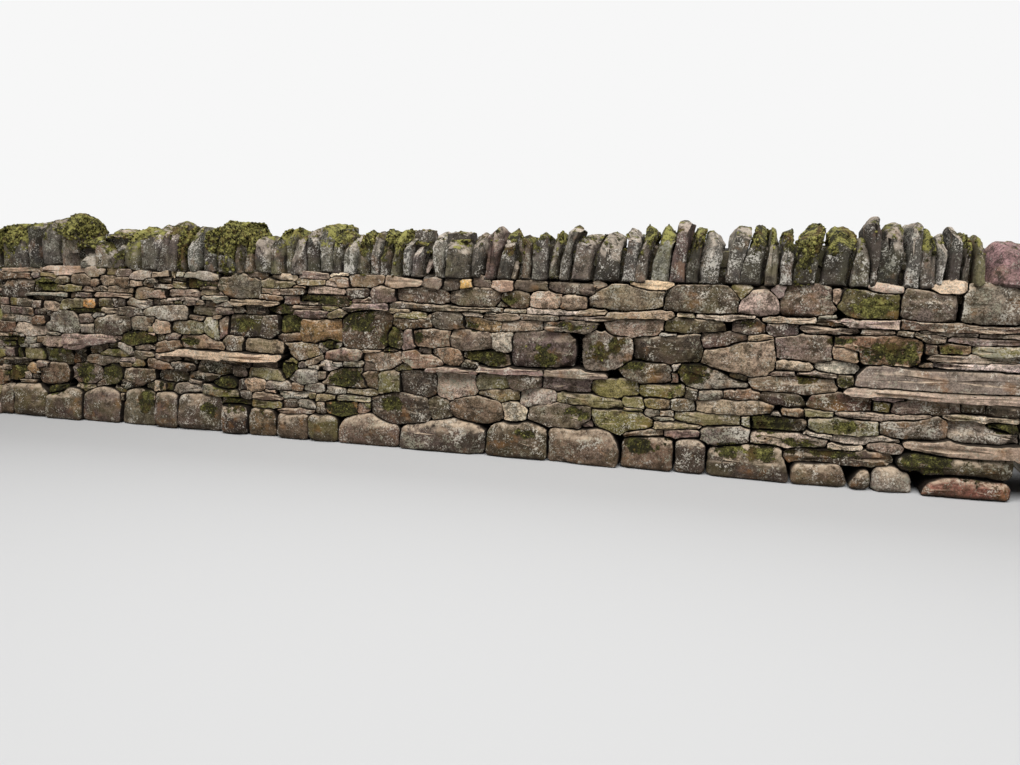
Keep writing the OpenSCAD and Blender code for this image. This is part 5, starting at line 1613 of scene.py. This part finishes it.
# %% [markdown]
# One builder makes the material of every kind of stone. It starts from the tint that a stone
# carries, mottles and speckles it, draws the beds of the rock across it, and then lays on
# what weather brings: rusty stains, green algae, a crust of lichen that is fine as sand, and
# moss from a noise that is pushed up where the surface faces upwards. Over that it paints
# light and shade: dust and a painted highlight on what faces up, a painted shade on what
# faces down, and a dark painted shade deep in the joints, heavier at the stones' lower edges.

# %% Colours of weather, and of painted light and shade
BUMP_DEPTH = 0.008


def new_material(name):
    """A material, its tree and its surface."""
    material = bpy.data.materials.new(name)
    material.use_nodes = True
    return material, Tree(material.node_tree), material.node_tree.nodes["Principled BSDF"]


def roughen(tree, surface, strength, height):
    """Lets a height shape the light on a surface."""
    bump = tree.node("ShaderNodeBump", None, {"Strength": strength, "Distance": BUMP_DEPTH,
                                              "Height": height})
    tree.feed(surface.inputs["Normal"], bump.outputs["Normal"])


def shade(red, green, blue):
    """A colour written as in a paint program, for a shader's socket."""
    return (*linear((red, green, blue)), 1.0)


OCHRE = shade(170, 118, 66)
ROSE = shade(136, 106, 98)
# Dust on ledges, and also a painted highlight on what faces up.
DUST_AND_TOP_HIGHLIGHT = shade(220, 197, 170)
ALGAE = shade(132, 124, 66)
LICHEN_PALE = shade(224, 216, 200)
LICHEN_DULL = shade(164, 160, 140)
# Dark grime in patches; the same colour is also the painted shade on what faces down.
GRIME_AND_UNDERSIDE_SHADE = shade(54, 44, 32)
# The colour of the painted shade deep in the joints, heavier under the stones' edges.
PAINTED_JOINT_SHADE = shade(24, 18, 13)
MOSS_DARK = shade(40, 37, 22)
MOSS_MID = shade(90, 87, 46)
MOSS_BRIGHT = shade(162, 157, 90)
MOSS_RUST = shade(104, 78, 46)
CRUST = shade(88, 85, 78)


def moss_colour(tree, place, seed, lean=0.0):
    """Moss from its dark roots to its yellow tips, paler on the cope, rusty where it has dried."""
    coarse = tree.noise(place, 24.0, seed, 4.0, 0.66) + lean
    fine = tree.noise(place, 130.0, None, 2.0)
    open_air = tree.step(tree.parts(place)[2], 1.12, 1.34) * 0.07 - 0.005
    low = tree.mixed(tree.step(coarse * 0.6 + fine * 0.4, 0.42, 0.56), MOSS_DARK, MOSS_MID)
    high = tree.mixed(tree.step(coarse * 0.7 + fine * 0.3 + open_air, 0.52, 0.66), low, MOSS_BRIGHT)
    dry = tree.step(tree.noise(place, 7.0, seed + 9.0, 2.0), 0.52, 0.66) * 0.5
    return tree.mixed(dry, high, MOSS_RUST)


print("moss from", [round(part, 3) for part in MOSS_DARK], "to",
      [round(part, 3) for part in MOSS_BRIGHT])

# %% What a material knows at each point of a stone
class StonePoint:
    """A point of a stone: the attributes that it carries, its place and the noises there."""

    def __init__(self, tree, bedding):
        self.tree = tree
        self.place = tree.node("ShaderNodeTexCoord").outputs["Object"]
        self.up = tree.parts(tree.node("ShaderNodeNewGeometry").outputs["Normal"])[2]
        self.seed = Sum(tree, self.carried("seed", "Fac"))
        self.inset = Sum(tree, self.carried("inset", "Fac"))
        self.tint = self.carried("tint", "Color")
        self.moss, self.lichen, self.algae = tree.parts(self.carried("growth", "Vector"))
        self.big = tree.noise(self.place, 6.0, self.seed, 3.0)
        self.mid = tree.noise(self.place, 32.0, self.seed, 6.0, 0.72)
        self.fine = tree.noise(self.place, 120.0, self.seed, 4.0, 0.75)
        self.beds = tree.noise(tree.scaled(self.place, bedding), 1.0, self.seed, 5.0, 0.62, 0.4)

    def carried(self, name, output):
        """An attribute of the stones, by its name."""
        return self.tree.node("ShaderNodeAttribute", {"attribute_name": name}).outputs[output]

    def patches(self, scale, shift, detail, rough, low, high):
        """Patches of noise, with soft rims between two values; the shift makes each layer's own."""
        return self.tree.step(self.tree.noise(self.place, scale, self.seed + shift, detail, rough),
                              low, high)


print(StonePoint.__doc__)

# %% What weather lays on a stone, and the painted light and shade, layer by layer
def rock_colour(tree, at, bright, crusted, clean):
    """The rock's own colour, mottled and speckled, and greyed by its crust."""
    light = bright * (1 + (at.big - 0.5) * 0.6 + (at.mid - 0.5) * (1.8 - clean) + (at.beds - 0.5) * 1.4)
    pepper = tree.step(at.fine + (at.mid - 0.5) * 0.4, 0.39, 0.61) * (1.1 - clean * 0.7)
    colour = tree.times(at.tint, tree.maths("MAXIMUM", light, 0.15) * (0.38 + clean * 0.6 + pepper))
    return tree.mixed((at.lichen + 0.4) * crusted, colour, CRUST)


def stained(tree, at, colour, clean):
    """Rusty and rosy stains, a film of algae, and dark grime over them."""
    colour = tree.mixed(at.patches(9.0, 5.0, 4.0, 0.6, 0.54, 0.68) * 0.36, colour, OCHRE)
    colour = tree.mixed(at.patches(5.0, 11.0, 3.0, 0.55, 0.52, 0.64) * 0.16, colour, ROSE)
    colour = tree.mixed(at.patches(7.0, 17.0, 4.0, 0.6, 0.4, 0.62) * at.algae * 0.6, colour, ALGAE)
    grime = at.patches(14.0, 23.0, 7.0, 0.76, 0.5, 0.6) * (0.82 - clean * 0.5)
    return tree.mixed(grime, colour, GRIME_AND_UNDERSIDE_SHADE)


def lichen_and_painted_light(tree, at, colour, crusted):
    """Specks of pale and dull lichen, dust and a painted highlight on what faces up, and painted shade on
    what faces down.
    """
    spots = tree.noise(at.place, 95.0, at.seed + 31.0, 4.0, 0.75)
    crust = spots * 0.66 + tree.noise(at.place, 14.0, at.seed, 3.0) * 0.34
    speckle = tree.step(crust + at.lichen * 0.07, 0.565, 0.60) * 0.8
    pale = at.patches(8.0, 3.0, 2.0, 0.55, 0.42, 0.6)
    colour = tree.mixed(speckle, colour, tree.mixed(pale, LICHEN_PALE, LICHEN_DULL))
    # Dust on the ledges and a painted highlight: what faces up is lightened as if lit from above.
    dust_and_highlight = tree.step(at.up, 0.2, 0.7) * tree.step(at.mid, 0.36, 0.58) * tree.step(at.lichen, 0.0, 0.1)
    dust_and_highlight = dust_and_highlight * (0.78 - crusted * 0.5)
    colour = tree.mixed(dust_and_highlight, colour, DUST_AND_TOP_HIGHLIGHT)
    # Painted shade: what faces down is darkened as if in its own shadow.
    painted_underside_shade = tree.step(0 - at.up, 0.05, 0.6) * 0.75
    colour = tree.mixed(painted_underside_shade, colour, GRIME_AND_UNDERSIDE_SHADE)
    greyed = {"Saturation": 1 - crusted * 0.6, "Color": colour}
    return tree.node("ShaderNodeHueSaturation", None, greyed).outputs["Color"]


def moss_cover(tree, at, bare, rise):
    """Where moss covers a stone: in patches, more where it faces up."""
    patch = tree.noise(at.place, 16.0, at.seed + 41.0, 5.0, 0.68) - 0.5
    mossy = at.moss * 0.5 + at.up * rise + patch * 1.9 + (at.fine - 0.5) * 0.4
    return tree.step(mossy, bare, bare + 0.1)


print("layers:", [layer.__name__ for layer in (rock_colour, stained, lichen_and_painted_light, moss_cover)])

# %% The stones' materials
def stone_material(name, bedding, moss_bare, moss_rise, bright=1.0, crusted=0.0, clean=0.0):
    """A weathered stone whose rock and growth come from the attributes that it carries.

    The bedding squeezes the noise that draws the beds. Moss covers what passes moss_bare, and
    moss_rise says how much facing up helps it there. A crusted stone is greyed by a fine
    crust, and a clean one has fewer mottles and less grime.
    """
    material, tree, surface = new_material(name)
    at = StonePoint(tree, bedding)
    colour = rock_colour(tree, at, bright, crusted, clean)
    colour = stained(tree, at, colour, clean)
    colour = lichen_and_painted_light(tree, at, colour, crusted)
    cover = moss_cover(tree, at, moss_bare, moss_rise)
    colour = tree.mixed(cover, colour, moss_colour(tree, at.place, at.seed, (at.algae - 0.35) * 0.18))
    # Painted shade: points deep in a joint go dark as if in shadow, more where they face down and less on
    # top edges.
    joint = tree.step(at.inset - at.up * 0.2 + (at.mid - 0.5) * 0.9, 0.04, 0.62) * 0.96
    colour = tree.mixed(joint, colour, PAINTED_JOINT_SHADE)
    tree.feed(surface.inputs["Base Color"], colour)
    tree.feed(surface.inputs["Roughness"], 0.84 + at.fine * 0.2)
    surface.inputs["Specular IOR Level"].default_value = 0.2
    height = at.mid * 0.55 + at.fine * 0.35 + at.beds * 0.7 + cover * at.fine * 0.9
    roughen(tree, surface, 0.9, height)
    return material


FACE_STONE = stone_material("face stone", (6.0, 6.0, 55.0), moss_bare=0.50, moss_rise=0.15)
COPE_STONE = stone_material("cope stone", (42.0, 5.0, 7.0), moss_bare=0.46, moss_rise=0.34,
                            bright=0.68, crusted=0.42)
FOOTING_STONE = stone_material("footing stone", (4.0, 4.0, 18.0), moss_bare=0.54, moss_rise=0.15,
                               bright=0.88, clean=0.3)
FLAGSTONE = stone_material("flagstone", (4.0, 4.0, 100.0), moss_bare=0.62, moss_rise=0.10,
                           bright=1.55, clean=0.6)
HEARTING_STONE = stone_material("hearting stone", (5.0, 5.0, 20.0), moss_bare=0.7, moss_rise=0.0,
                                bright=0.6)
print("materials of stone:", [material.name for material in bpy.data.materials])

# %% Cushions of moss
def moss_material(name):
    """The cushions of moss, each with a shade of its own."""
    material, tree, surface = new_material(name)
    place = tree.node("ShaderNodeTexCoord").outputs["Object"]
    own = Sum(tree, tree.node("ShaderNodeAttribute", {"attribute_name": "seed"}).outputs["Fac"])
    colour = tree.times(moss_colour(tree, place, own, (own - 0.5) * 0.16), 0.7 + own * 0.6)
    tree.feed(surface.inputs["Base Color"], colour)
    surface.inputs["Roughness"].default_value = 0.95
    surface.inputs["Specular IOR Level"].default_value = 0.1
    roughen(tree, surface, 0.8, tree.noise(place, 220.0, None, 2.0))
    return material


CUSHION_MOSS = moss_material("moss cushions")
print("material of moss:", CUSHION_MOSS.name)

# %% [markdown]
# Now every solid of the frame gets its stones. A stone of the face belongs to the bay and
# the lift that its middle lies in. The far face has the same joints, because through stones
# and cover slabs show on both, but every stone there has another seed, kind and break.

# %% Where a stone belongs, and how far it stands out
SLAB_STAND = 0.024
FOOTING_STAND = 0.004, 0.03
THROUGH_STAND = 0.036, 0.046
PROUD_STAND = 0.014, 0.022
SUNK_STAND = -0.026, -0.008
THIN_STAND = -0.006, 0.014
PLAIN_STAND = -0.012, 0.010
THIN_SLAB = 0.045


def settings_of(node):
    """A solid's slot and material, its lumps, ledges and grain, and how its beds are squeezed."""
    if node.startswith("footing"):
        return "footing_stone", FOOTING_STONE, (0.026, 0.004, 0.008), (4.0, 4.0, 14.0)
    if node in ("throughs", "long_slab", "smoot_lintels", "cover_slabs"):
        return "flagstone", FLAGSTONE, (0.008, 0.004, 0.004), (2.5, 2.5, 46.0)
    if node.startswith("cope"):
        return "cope_stone", COPE_STONE, (0.018, 0.006, 0.008), (26.0, 4.0, 5.0)
    return "face_stone", FACE_STONE, (0.010, 0.004, 0.006), (4.0, 4.0, 32.0)


def bay_of(x):
    """The number of the bay at a place along the wall, from 1 at the left."""
    return min(max(int((x - LEFT_END) / BAY), 0), BAYS - 1) + 1


def node_of(role, x, z, side):
    """The solid that a stone of the face belongs to."""
    if role == "through":
        return "throughs"
    if role == "slab":
        return "long_slab"
    if role == "lintel":
        return "smoot_lintels"
    if role == "footing" or z < FOOTING_TOP - 0.02:
        return f"footing_{bay_of(x)}"
    if z > COVER_BOTTOM:
        return "cover_slabs"
    if x < HEAD[1].x:
        return "left_head"
    if x > SMOOT_LEFT:
        return "right_head"
    return f"{'lower' if z < LIFT_TOP else 'upper'}_{side}_{bay_of(x)}"


def stand_of(role, kind, high, dice):
    """How far a stone stands out of the wall's face."""
    if role == "footing":
        return dice.uniform(*FOOTING_STAND)
    if "++" in kind or role == "through":
        return dice.uniform(*THROUGH_STAND)
    if role in ("slab", "lintel"):
        return SLAB_STAND
    if "+" in kind:
        return dice.uniform(*PROUD_STAND)
    if "D" in kind or "E" in kind:
        return dice.uniform(*SUNK_STAND)
    if high < THIN_SLAB:
        return dice.uniform(*THIN_STAND)
    return dice.uniform(*PLAIN_STAND)


print("under the cope lies:", node_of("face", 0.0, COVER_BOTTOM + 0.01, "front"))

# %% The stones of both faces
FOOTING_BULGE = 0.018
DEPTHS = {"footing": 0.33, "lintel": 0.30, "slab": 0.24, "through": 0.2, "cover": 0.19}
NEAR_STEP, FAR_STEP = 0.014, 0.022
OTHER_KINDS = ["G", "B", "K", "P", "N", "GW", "BN", "W", "GN", "KP", "D", "BM", "PN"]
piles = {}
dice = np.random.default_rng(7)
for side in ("front", "back"):
    for stone in stones:
        outline = stone["fitted" if side == "front" else "coarse"]
        if stone["role"] == "hole":
            continue
        x, z = (outline.min(0) + outline.max(0)) / 2
        high = np.ptp(outline[:, 1])
        role = stone["role"]
        kind = stone["kind"]
        if side == "back" and role in ("face", "footing"):
            kind = dice.choice(OTHER_KINDS)
        depth = DEPTHS.get("cover" if z > COVER_BOTTOM else role, SIDE_DEPTH)
        if role == "footing":
            bulge = FOOTING_BULGE
        else:
            bulge = 0.0 if high < THIN_SLAB else dice.uniform(0.0, 0.005)
        pile = piles.setdefault(node_of(role, x, z, side), Pile())
        face_stone(pile, outline, kind, dice, stand_of(role, kind, high, dice), bulge, depth,
                   side == "back", NEAR_STEP if side == "front" else FAR_STEP)
print("piles:", len(piles), "largest:", max(pile.count for pile in piles.values()), "points")

# %% [markdown]
# The ends are laid of longer blocks. In one course a block runs through the whole wall; in
# the next, two blocks share it, and their joint is covered by the long ones above and below.
# A core inside stands for the packing, so that no light shows between the blocks; it is
# black, a painted shade for the gaps between them. The pier beyond the smoot carries the end
# of its lintel.

# %% Both heads
HEAD_COURSES = [0.0, 0.12, 0.21, 0.35, 0.45, 0.57, 0.64, 0.78, 0.87, 0.97, 1.04]
HEAD_BLOCK = 0.139
HEAD_END_GAP = 0.003
HEAD_FOOT_HALF = 0.372
CORE_LIFTS = (0.01, 0.2), (0.21, 1.02)
CORE_DEPTH = 0.19
CORE_SETBACK = 0.03


def build_head(sign, pile_name, footing_name):
    """Lays the tie blocks of one end; a sign of -1 is the left end, 1 the right."""
    for number, (low, high) in enumerate(zip(HEAD_COURSES, HEAD_COURSES[1:])):
        footing = low < FOOTING_TOP - 0.01
        inner = SMOOT_RIGHT if sign > 0 and footing else RIGHT_END - HEAD_BLOCK
        ends = sorted((sign * inner, sign * (RIGHT_END - HEAD_END_GAP)))
        wide = HEAD_FOOT_HALF if footing else half_width(low) - 0.002
        pile = piles.setdefault(footing_name if footing else pile_name, Pile())
        joints = [-wide, wide] if number % 2 == 0 else [-wide, dice.uniform(-0.07, 0.07), wide]
        for first, second in zip(joints, joints[1:]):
            near_corner = (ends[0], first + 0.003, low + 0.002)
            far_corner = (ends[1], second - 0.003, high - 0.003)
            block_stone(pile, near_corner, far_corner, dice.choice(OTHER_KINDS), dice)
    ends = sorted((sign * (RIGHT_END - CORE_DEPTH), sign * (RIGHT_END - CORE_SETBACK)))
    for name, (low, high) in zip((footing_name, pile_name), CORE_LIFTS):
        core = half_width(low) - CORE_SETBACK
        # The core takes the black E tone, a painted shade for the gaps between the blocks.
        block_stone(piles[name], (ends[0], -core, low), (ends[1], core, high), "E", dice, 0.01, 0.1, 0)


build_head(-1, "left_head", "footing_1")
build_head(1, "right_head", "footing_6")
print("head courses:", len(HEAD_COURSES) - 1)

# %% Small stones packed flat under the cope
PACKING = 0.21
PACKING_COUNT = int(6.9 / PACKING)
PACKING_START = -3.45
PACKING_HALF = 0.172
PACKING_BED = 0.99
for number in range(PACKING_COUNT):
    start = PACKING_START + number * PACKING
    far_corner = (start + PACKING - 0.004, PACKING_HALF, WALL_TOP - 0.004)
    # The packing takes the dark D tone, in part a painted shade for the gap between cover and cope.
    block_stone(piles["cover_slabs"], (start, -PACKING_HALF, PACKING_BED), far_corner, "D", dice,
                0.006, 0.07)
print("packing stones:", PACKING_COUNT)

# %% [markdown]
# A cope stone runs through the whole thickness of the wall on its edge. Its outline is fitted
# to its neighbours as the face's stones were, then carried from the near end to the far one.
# On the way its top rises to a crest and falls again, its sides swell a little and wander,
# and planes shear its corners, so that the row has the broken skyline of the real one. The
# left end lies damper and is greener. Behind each joint lie small wedge stones in a dark tone,
# in part a painted shade for the gap between the cope stones.

# %% The cope's outlines, fitted
COPE_BED = WALL_TOP
COPE_REACH = 0.02
COPE_SPACING = 0.02
COPE_CUT = COPE_JOINT = 0.008
cope_stones = [{"kind": line[0], "outline": as_corners(line[1:])} for line in COPE_LEFT + COPE_RIGHT]
cope_owner = np.full((MAP_ROWS, MAP_COLUMNS), FREE)
cope_nearest = np.full((MAP_ROWS, MAP_COLUMNS), COPE_REACH)
for number, stone in enumerate(cope_stones):
    claim(cope_owner, cope_nearest, stone["outline"], number, COPE_REACH)
cope_owner[:int(COPE_BED / SQUARE)] = OUTSIDE
chance = np.random.default_rng(43)
for number, stone in enumerate(cope_stones):
    stone["fitted"] = grown(stone["outline"], cope_owner, number, COPE_SPACING, COPE_CUT, COPE_JOINT,
                            free_grows=False)
print("cope stones:", len(cope_stones))

# %% One cope stone
DOME = 0.38
DOME_EDGE = 0.25
STATIONS = 14
BED_SINK = 0.004
PERCHED = 0.12
MOST_STRETCH = 1.25
SHELTER = 0.22
NEAR_ROUNDING = [(0.0, 0.28), (0.0, 0.58), (0.004, 0.84), (0.014, 0.96)]
FAR_ROUNDING = [0.92, 0.62, 0.28]


def dome_fall(y):
    """How far the top of a cope stone lies below its crest, across the wall."""
    return DOME - np.sqrt(DOME ** 2 - np.clip(y, -DOME_EDGE, DOME_EDGE) ** 2)


def cope_stone(pile, outline, kind, dice):
    """Adds one cope stone, from its near end to its far end."""
    centre, middle = middle_line(outline)
    count = len(outline)
    crest = outline[:, 1].max()
    reach = np.array([np.ptp(outline[:, 0]) / 2, COPE_HALF, np.ptp(outline[:, 1]) / 2])
    near = -COPE_HALF + dice.uniform(-0.012, 0.022)
    far = COPE_HALF - dice.uniform(-0.012, 0.022)
    turn = dice.uniform(-0.05, 0.05)
    wander = dice.uniform(0, 6, 2)
    slab = []
    slant = dice.uniform(-0.22, 0.22), dice.uniform(-0.06, 0.10)
    drop_near = dice.uniform(-0.015, 0.02)
    slope = dice.uniform(-0.35, 0.35)
    perched = outline[:, 1].min() > COPE_BED + PERCHED
    if perched:
        near, far = near * 0.8, far * 0.6
    rings = [(near + further, share) for further, share in NEAR_ROUNDING]
    rings += [(y, 1.0) for y in np.linspace(near + 0.03, far - 0.005, STATIONS)]
    rings += [(far, share) for share in FAR_ROUNDING]
    for y, share in rings:
        ring = middle + (outline - middle) * share
        end = np.clip(abs(y) / COPE_HALF, 0, 1) ** 3
        roof = crest - dome_fall(y) - (drop_near + slope * (ring[:, 0] - centre[0])) * end
        over = np.maximum(ring[:, 1] - roof, 0) * (0.3 if perched else 0.93)
        top = ring[:, 1] - over
        swell = 1 + 0.05 * math.sin(y * 17 + wander[0])
        bend = turn * y + 0.006 * math.sin(y * 23 + wander[1])
        side = centre[0] + (ring[:, 0] - centre[0]) * swell + bend
        low = np.maximum(top, COPE_BED - BED_SINK)
        tipped = slant[0] * (ring[:, 0] - centre[0]) + slant[1] * (ring[:, 1] - centre[1])
        slab.append(np.stack([side, y - tipped * end * np.sign(y), low], -1))
    points = np.concatenate(slab)
    middle_point = np.array([centre[0], 0.0, (COPE_BED + crest) / 2])
    points = sheared(points, middle_point, reach, dice, 7, up_only=True)
    if not perched:
        stretch = (crest - COPE_BED) / (points[:, 2].max() - COPE_BED)
        points[:, 2] = COPE_BED + (points[:, 2] - COPE_BED) * min(stretch, MOST_STRETCH)
    points[:, 2] = np.maximum(points[:, 2], COPE_BED - BED_SINK)
    starts = np.array([points[:count].mean(0), points[-count:].mean(0)])
    points = np.concatenate([points, starts])
    steps = np.arange(count)
    ahead = (steps + 1) % count
    total = len(rings) * count
    near_lid = np.stack([np.full(count, total), ahead, steps], -1)
    last = total - count
    far_lid = np.stack([np.full(count, total + 1), last + steps, last + ahead], -1)
    # Points near the bed count as deep in a joint, so the material paints shade at the foot of the stone.
    low_share = np.clip((COPE_BED + 0.03 - points[:, 2]) / 0.04, 0, 0.5)
    most = 0.5 if "M" in kind or "N" in kind else 0.25
    shelter = SHELTER * min(max(-centre[0] / 1.5, 0), 1)
    weather_moss = np.clip((points[:, 2] - 1.25) / 0.2, -0.5, most) + shelter
    trait = traits(kind, dice)
    trait["growth"] = np.add(trait["growth"], (0, 0, shelter))
    pile.add(points, ring_quads(len(rings), count), np.concatenate([near_lid, far_lid]), low_share,
             trait, flip=True, moss=weather_moss)


print("the crest falls", round(dome_fall(DOME_EDGE) * 1000), "mm towards the ends of a stone")

# %% Every cope stone, and the wedges behind its joint
WEDGE_HALF = 0.035
WEDGE_DEPTH = 0.11
WEDGE_TOP, MOSSY_WEDGE_TOP = 0.19, 0.22
dice = np.random.default_rng(11)
for stone in cope_stones:
    outline = stone["fitted"]
    pile = piles.setdefault(f"cope_{bay_of(outline[:, 0].mean())}", Pile())
    cope_stone(pile, outline, stone["kind"], dice)
    if outline[:, 1].min() > COPE_BED + PERCHED and np.ptp(outline[:, 0]) > 0.12:
        block_stone(pile, (outline[:, 0].min() + 0.02, -0.12, COPE_BED + 0.05),
                    (outline[:, 0].max() - 0.02, 0.12, outline[:, 1].min() + 0.04), "DG", dice, 0.02, 0.07)
    wedge_top = MOSSY_WEDGE_TOP if "M" in stone["kind"] else WEDGE_TOP
    for low, high in ((0.0, 0.12), (0.1, wedge_top)):
        heights = outline[:, 1] - COPE_BED
        beside = outline[(heights > low - 0.02) & (heights < high + 0.02), 0]
        if len(beside) and beside.max() < RIGHT_END - 0.05:
            near_corner = (beside.max() - WEDGE_HALF, -WEDGE_DEPTH, COPE_BED + low)
            far_corner = (beside.max() + WEDGE_HALF, WEDGE_DEPTH, COPE_BED + high)
            # The wedges take the dark D tone, in part a painted shade for the gap between cope stones.
            block_stone(pile, near_corner, far_corner, "DN", dice, 0.01, 0.07)
print("cope piles:", sorted(name for name in piles if name.startswith("cope")))

# %% [markdown]
# Each pile becomes one piece: a mesh, weathered and mossed by the two trees, and then turned
# into plain mesh, so that nothing in the finished part depends on a modifier. The piece is
# named after the solid that it stands for, which is then hidden.

# %% Pieces
SMOOTH_BELOW = math.radians(27)
FACE_MOSS = {"Density": 2000.0, "Size": 0.008, "Bare": 0.52, "Rise": 0.15}
FOOTING_MOSS = {**FACE_MOSS, "Density": 1200.0}
COPE_MOSS = {"Density": 3600.0, "Size": 0.0135, "Bare": 0.47, "Rise": 0.34}
MOSS_PUFF = 0.012
pieces = []
for number, (node, pile) in enumerate(sorted(piles.items())):
    slot, material, (lumps, ledges, grain), bedding = settings_of(node)
    piece = bpy.data.objects.new(f"{node}_stones", pile.mesh(node))
    bpy.context.scene.collection.objects.link(piece)
    piece.data.polygons.foreach_set("use_smooth", np.ones(len(piece.data.polygons), bool))
    piece.data.set_sharp_from_angle(angle=SMOOTH_BELOW)
    with_tree(piece, WEATHER, {"Lumps": lumps, "Ledges": ledges, "Grain": grain, "Moss": MOSS_PUFF,
                               "Bedding": bedding, "Stone": material})
    growth = {"cope": COPE_MOSS, "footing": FOOTING_MOSS}.get(node.split("_")[0], FACE_MOSS)
    with_tree(piece, MOSS, {**growth, "Seed": number, "Cover": CUSHION_MOSS})
    settled(piece)
    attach(piece, "root")
    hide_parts(node)
    pieces.append(piece)
faces = {piece.name: sum(len(polygon.vertices) - 2 for polygon in piece.data.polygons) for piece in pieces}
print("triangles:", sum(faces.values()), "largest piece:", max(faces.values()))

# %% The hearting between the skins
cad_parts["hearting"].data.materials.clear()
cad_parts["hearting"].data.materials.append(HEARTING_STONE)
print("hearting:", HEARTING_STONE.name)

# %% [markdown]
# The stage is plain: a pale floor, a soft lamp above and in front, so that ledges have pale
# tops and dark undersides, and a weaker one for the far side. The background is white for the
# camera, and adds only a little light.

# %% Floor, light and background
FLOOR_HALF = 40.0
FLOOR_GREY = (0.62, 0.62, 0.62, 1)
floor_data = bpy.data.meshes.new("floor")
corners = [(-FLOOR_HALF, -FLOOR_HALF, 0), (FLOOR_HALF, -FLOOR_HALF, 0),
           (FLOOR_HALF, FLOOR_HALF, 0), (-FLOOR_HALF, FLOOR_HALF, 0)]
floor_data.from_pydata(corners, [], [(0, 1, 2, 3)])
floor = bpy.data.objects.new("floor", floor_data)
bpy.context.scene.collection.objects.link(floor)
floor_material, _, floor_surface = new_material("floor")
floor_surface.inputs["Base Color"].default_value = FLOOR_GREY
floor_surface.inputs["Roughness"].default_value = 1.0
floor_surface.inputs["Specular IOR Level"].default_value = 0.0
floor_data.materials.append(floor_material)

FILL_LIGHT = 0.1
BACKDROP = 0.93
world = bpy.data.worlds.new("studio")
world.use_nodes = True
bpy.context.scene.world = world
world_tree = Tree(world.node_tree)
background = world.node_tree.nodes["Background"]
background.inputs["Color"].default_value = (1.0, 1.0, 1.0, 1.0)
rays = world_tree.node("ShaderNodeLightPath")
seen = world_tree.maths("MAXIMUM", rays.outputs["Is Camera Ray"], rays.outputs["Is Glossy Ray"])
world_tree.feed(background.inputs["Strength"], FILL_LIGHT + seen * (BACKDROP - FILL_LIGHT))

# Each lamp's name, place in metres, tip in degrees and power in watts.
LAMPS = [("overhead", (1.4, -3.9, 7.6), 28, 900.0), ("far side", (0.5, 5.5, 6.5), -40, 420.0)]
LAMP_LENGTH = 12.0
LAMP_WIDTH = 6.0
for label, place, tip, energy in LAMPS:
    lamp_data = bpy.data.lights.new(label, "AREA")
    lamp_data.shape = "RECTANGLE"
    lamp_data.size = LAMP_LENGTH
    lamp_data.size_y = LAMP_WIDTH
    lamp_data.energy = energy
    lamp = bpy.data.objects.new(label, lamp_data)
    lamp.location = place
    lamp.rotation_euler = (math.radians(tip), 0, 0)
    bpy.context.scene.collection.objects.link(lamp)
bpy.context.scene.view_settings.view_transform = "Standard"
print("lamps:", [values[0] for values in LAMPS])
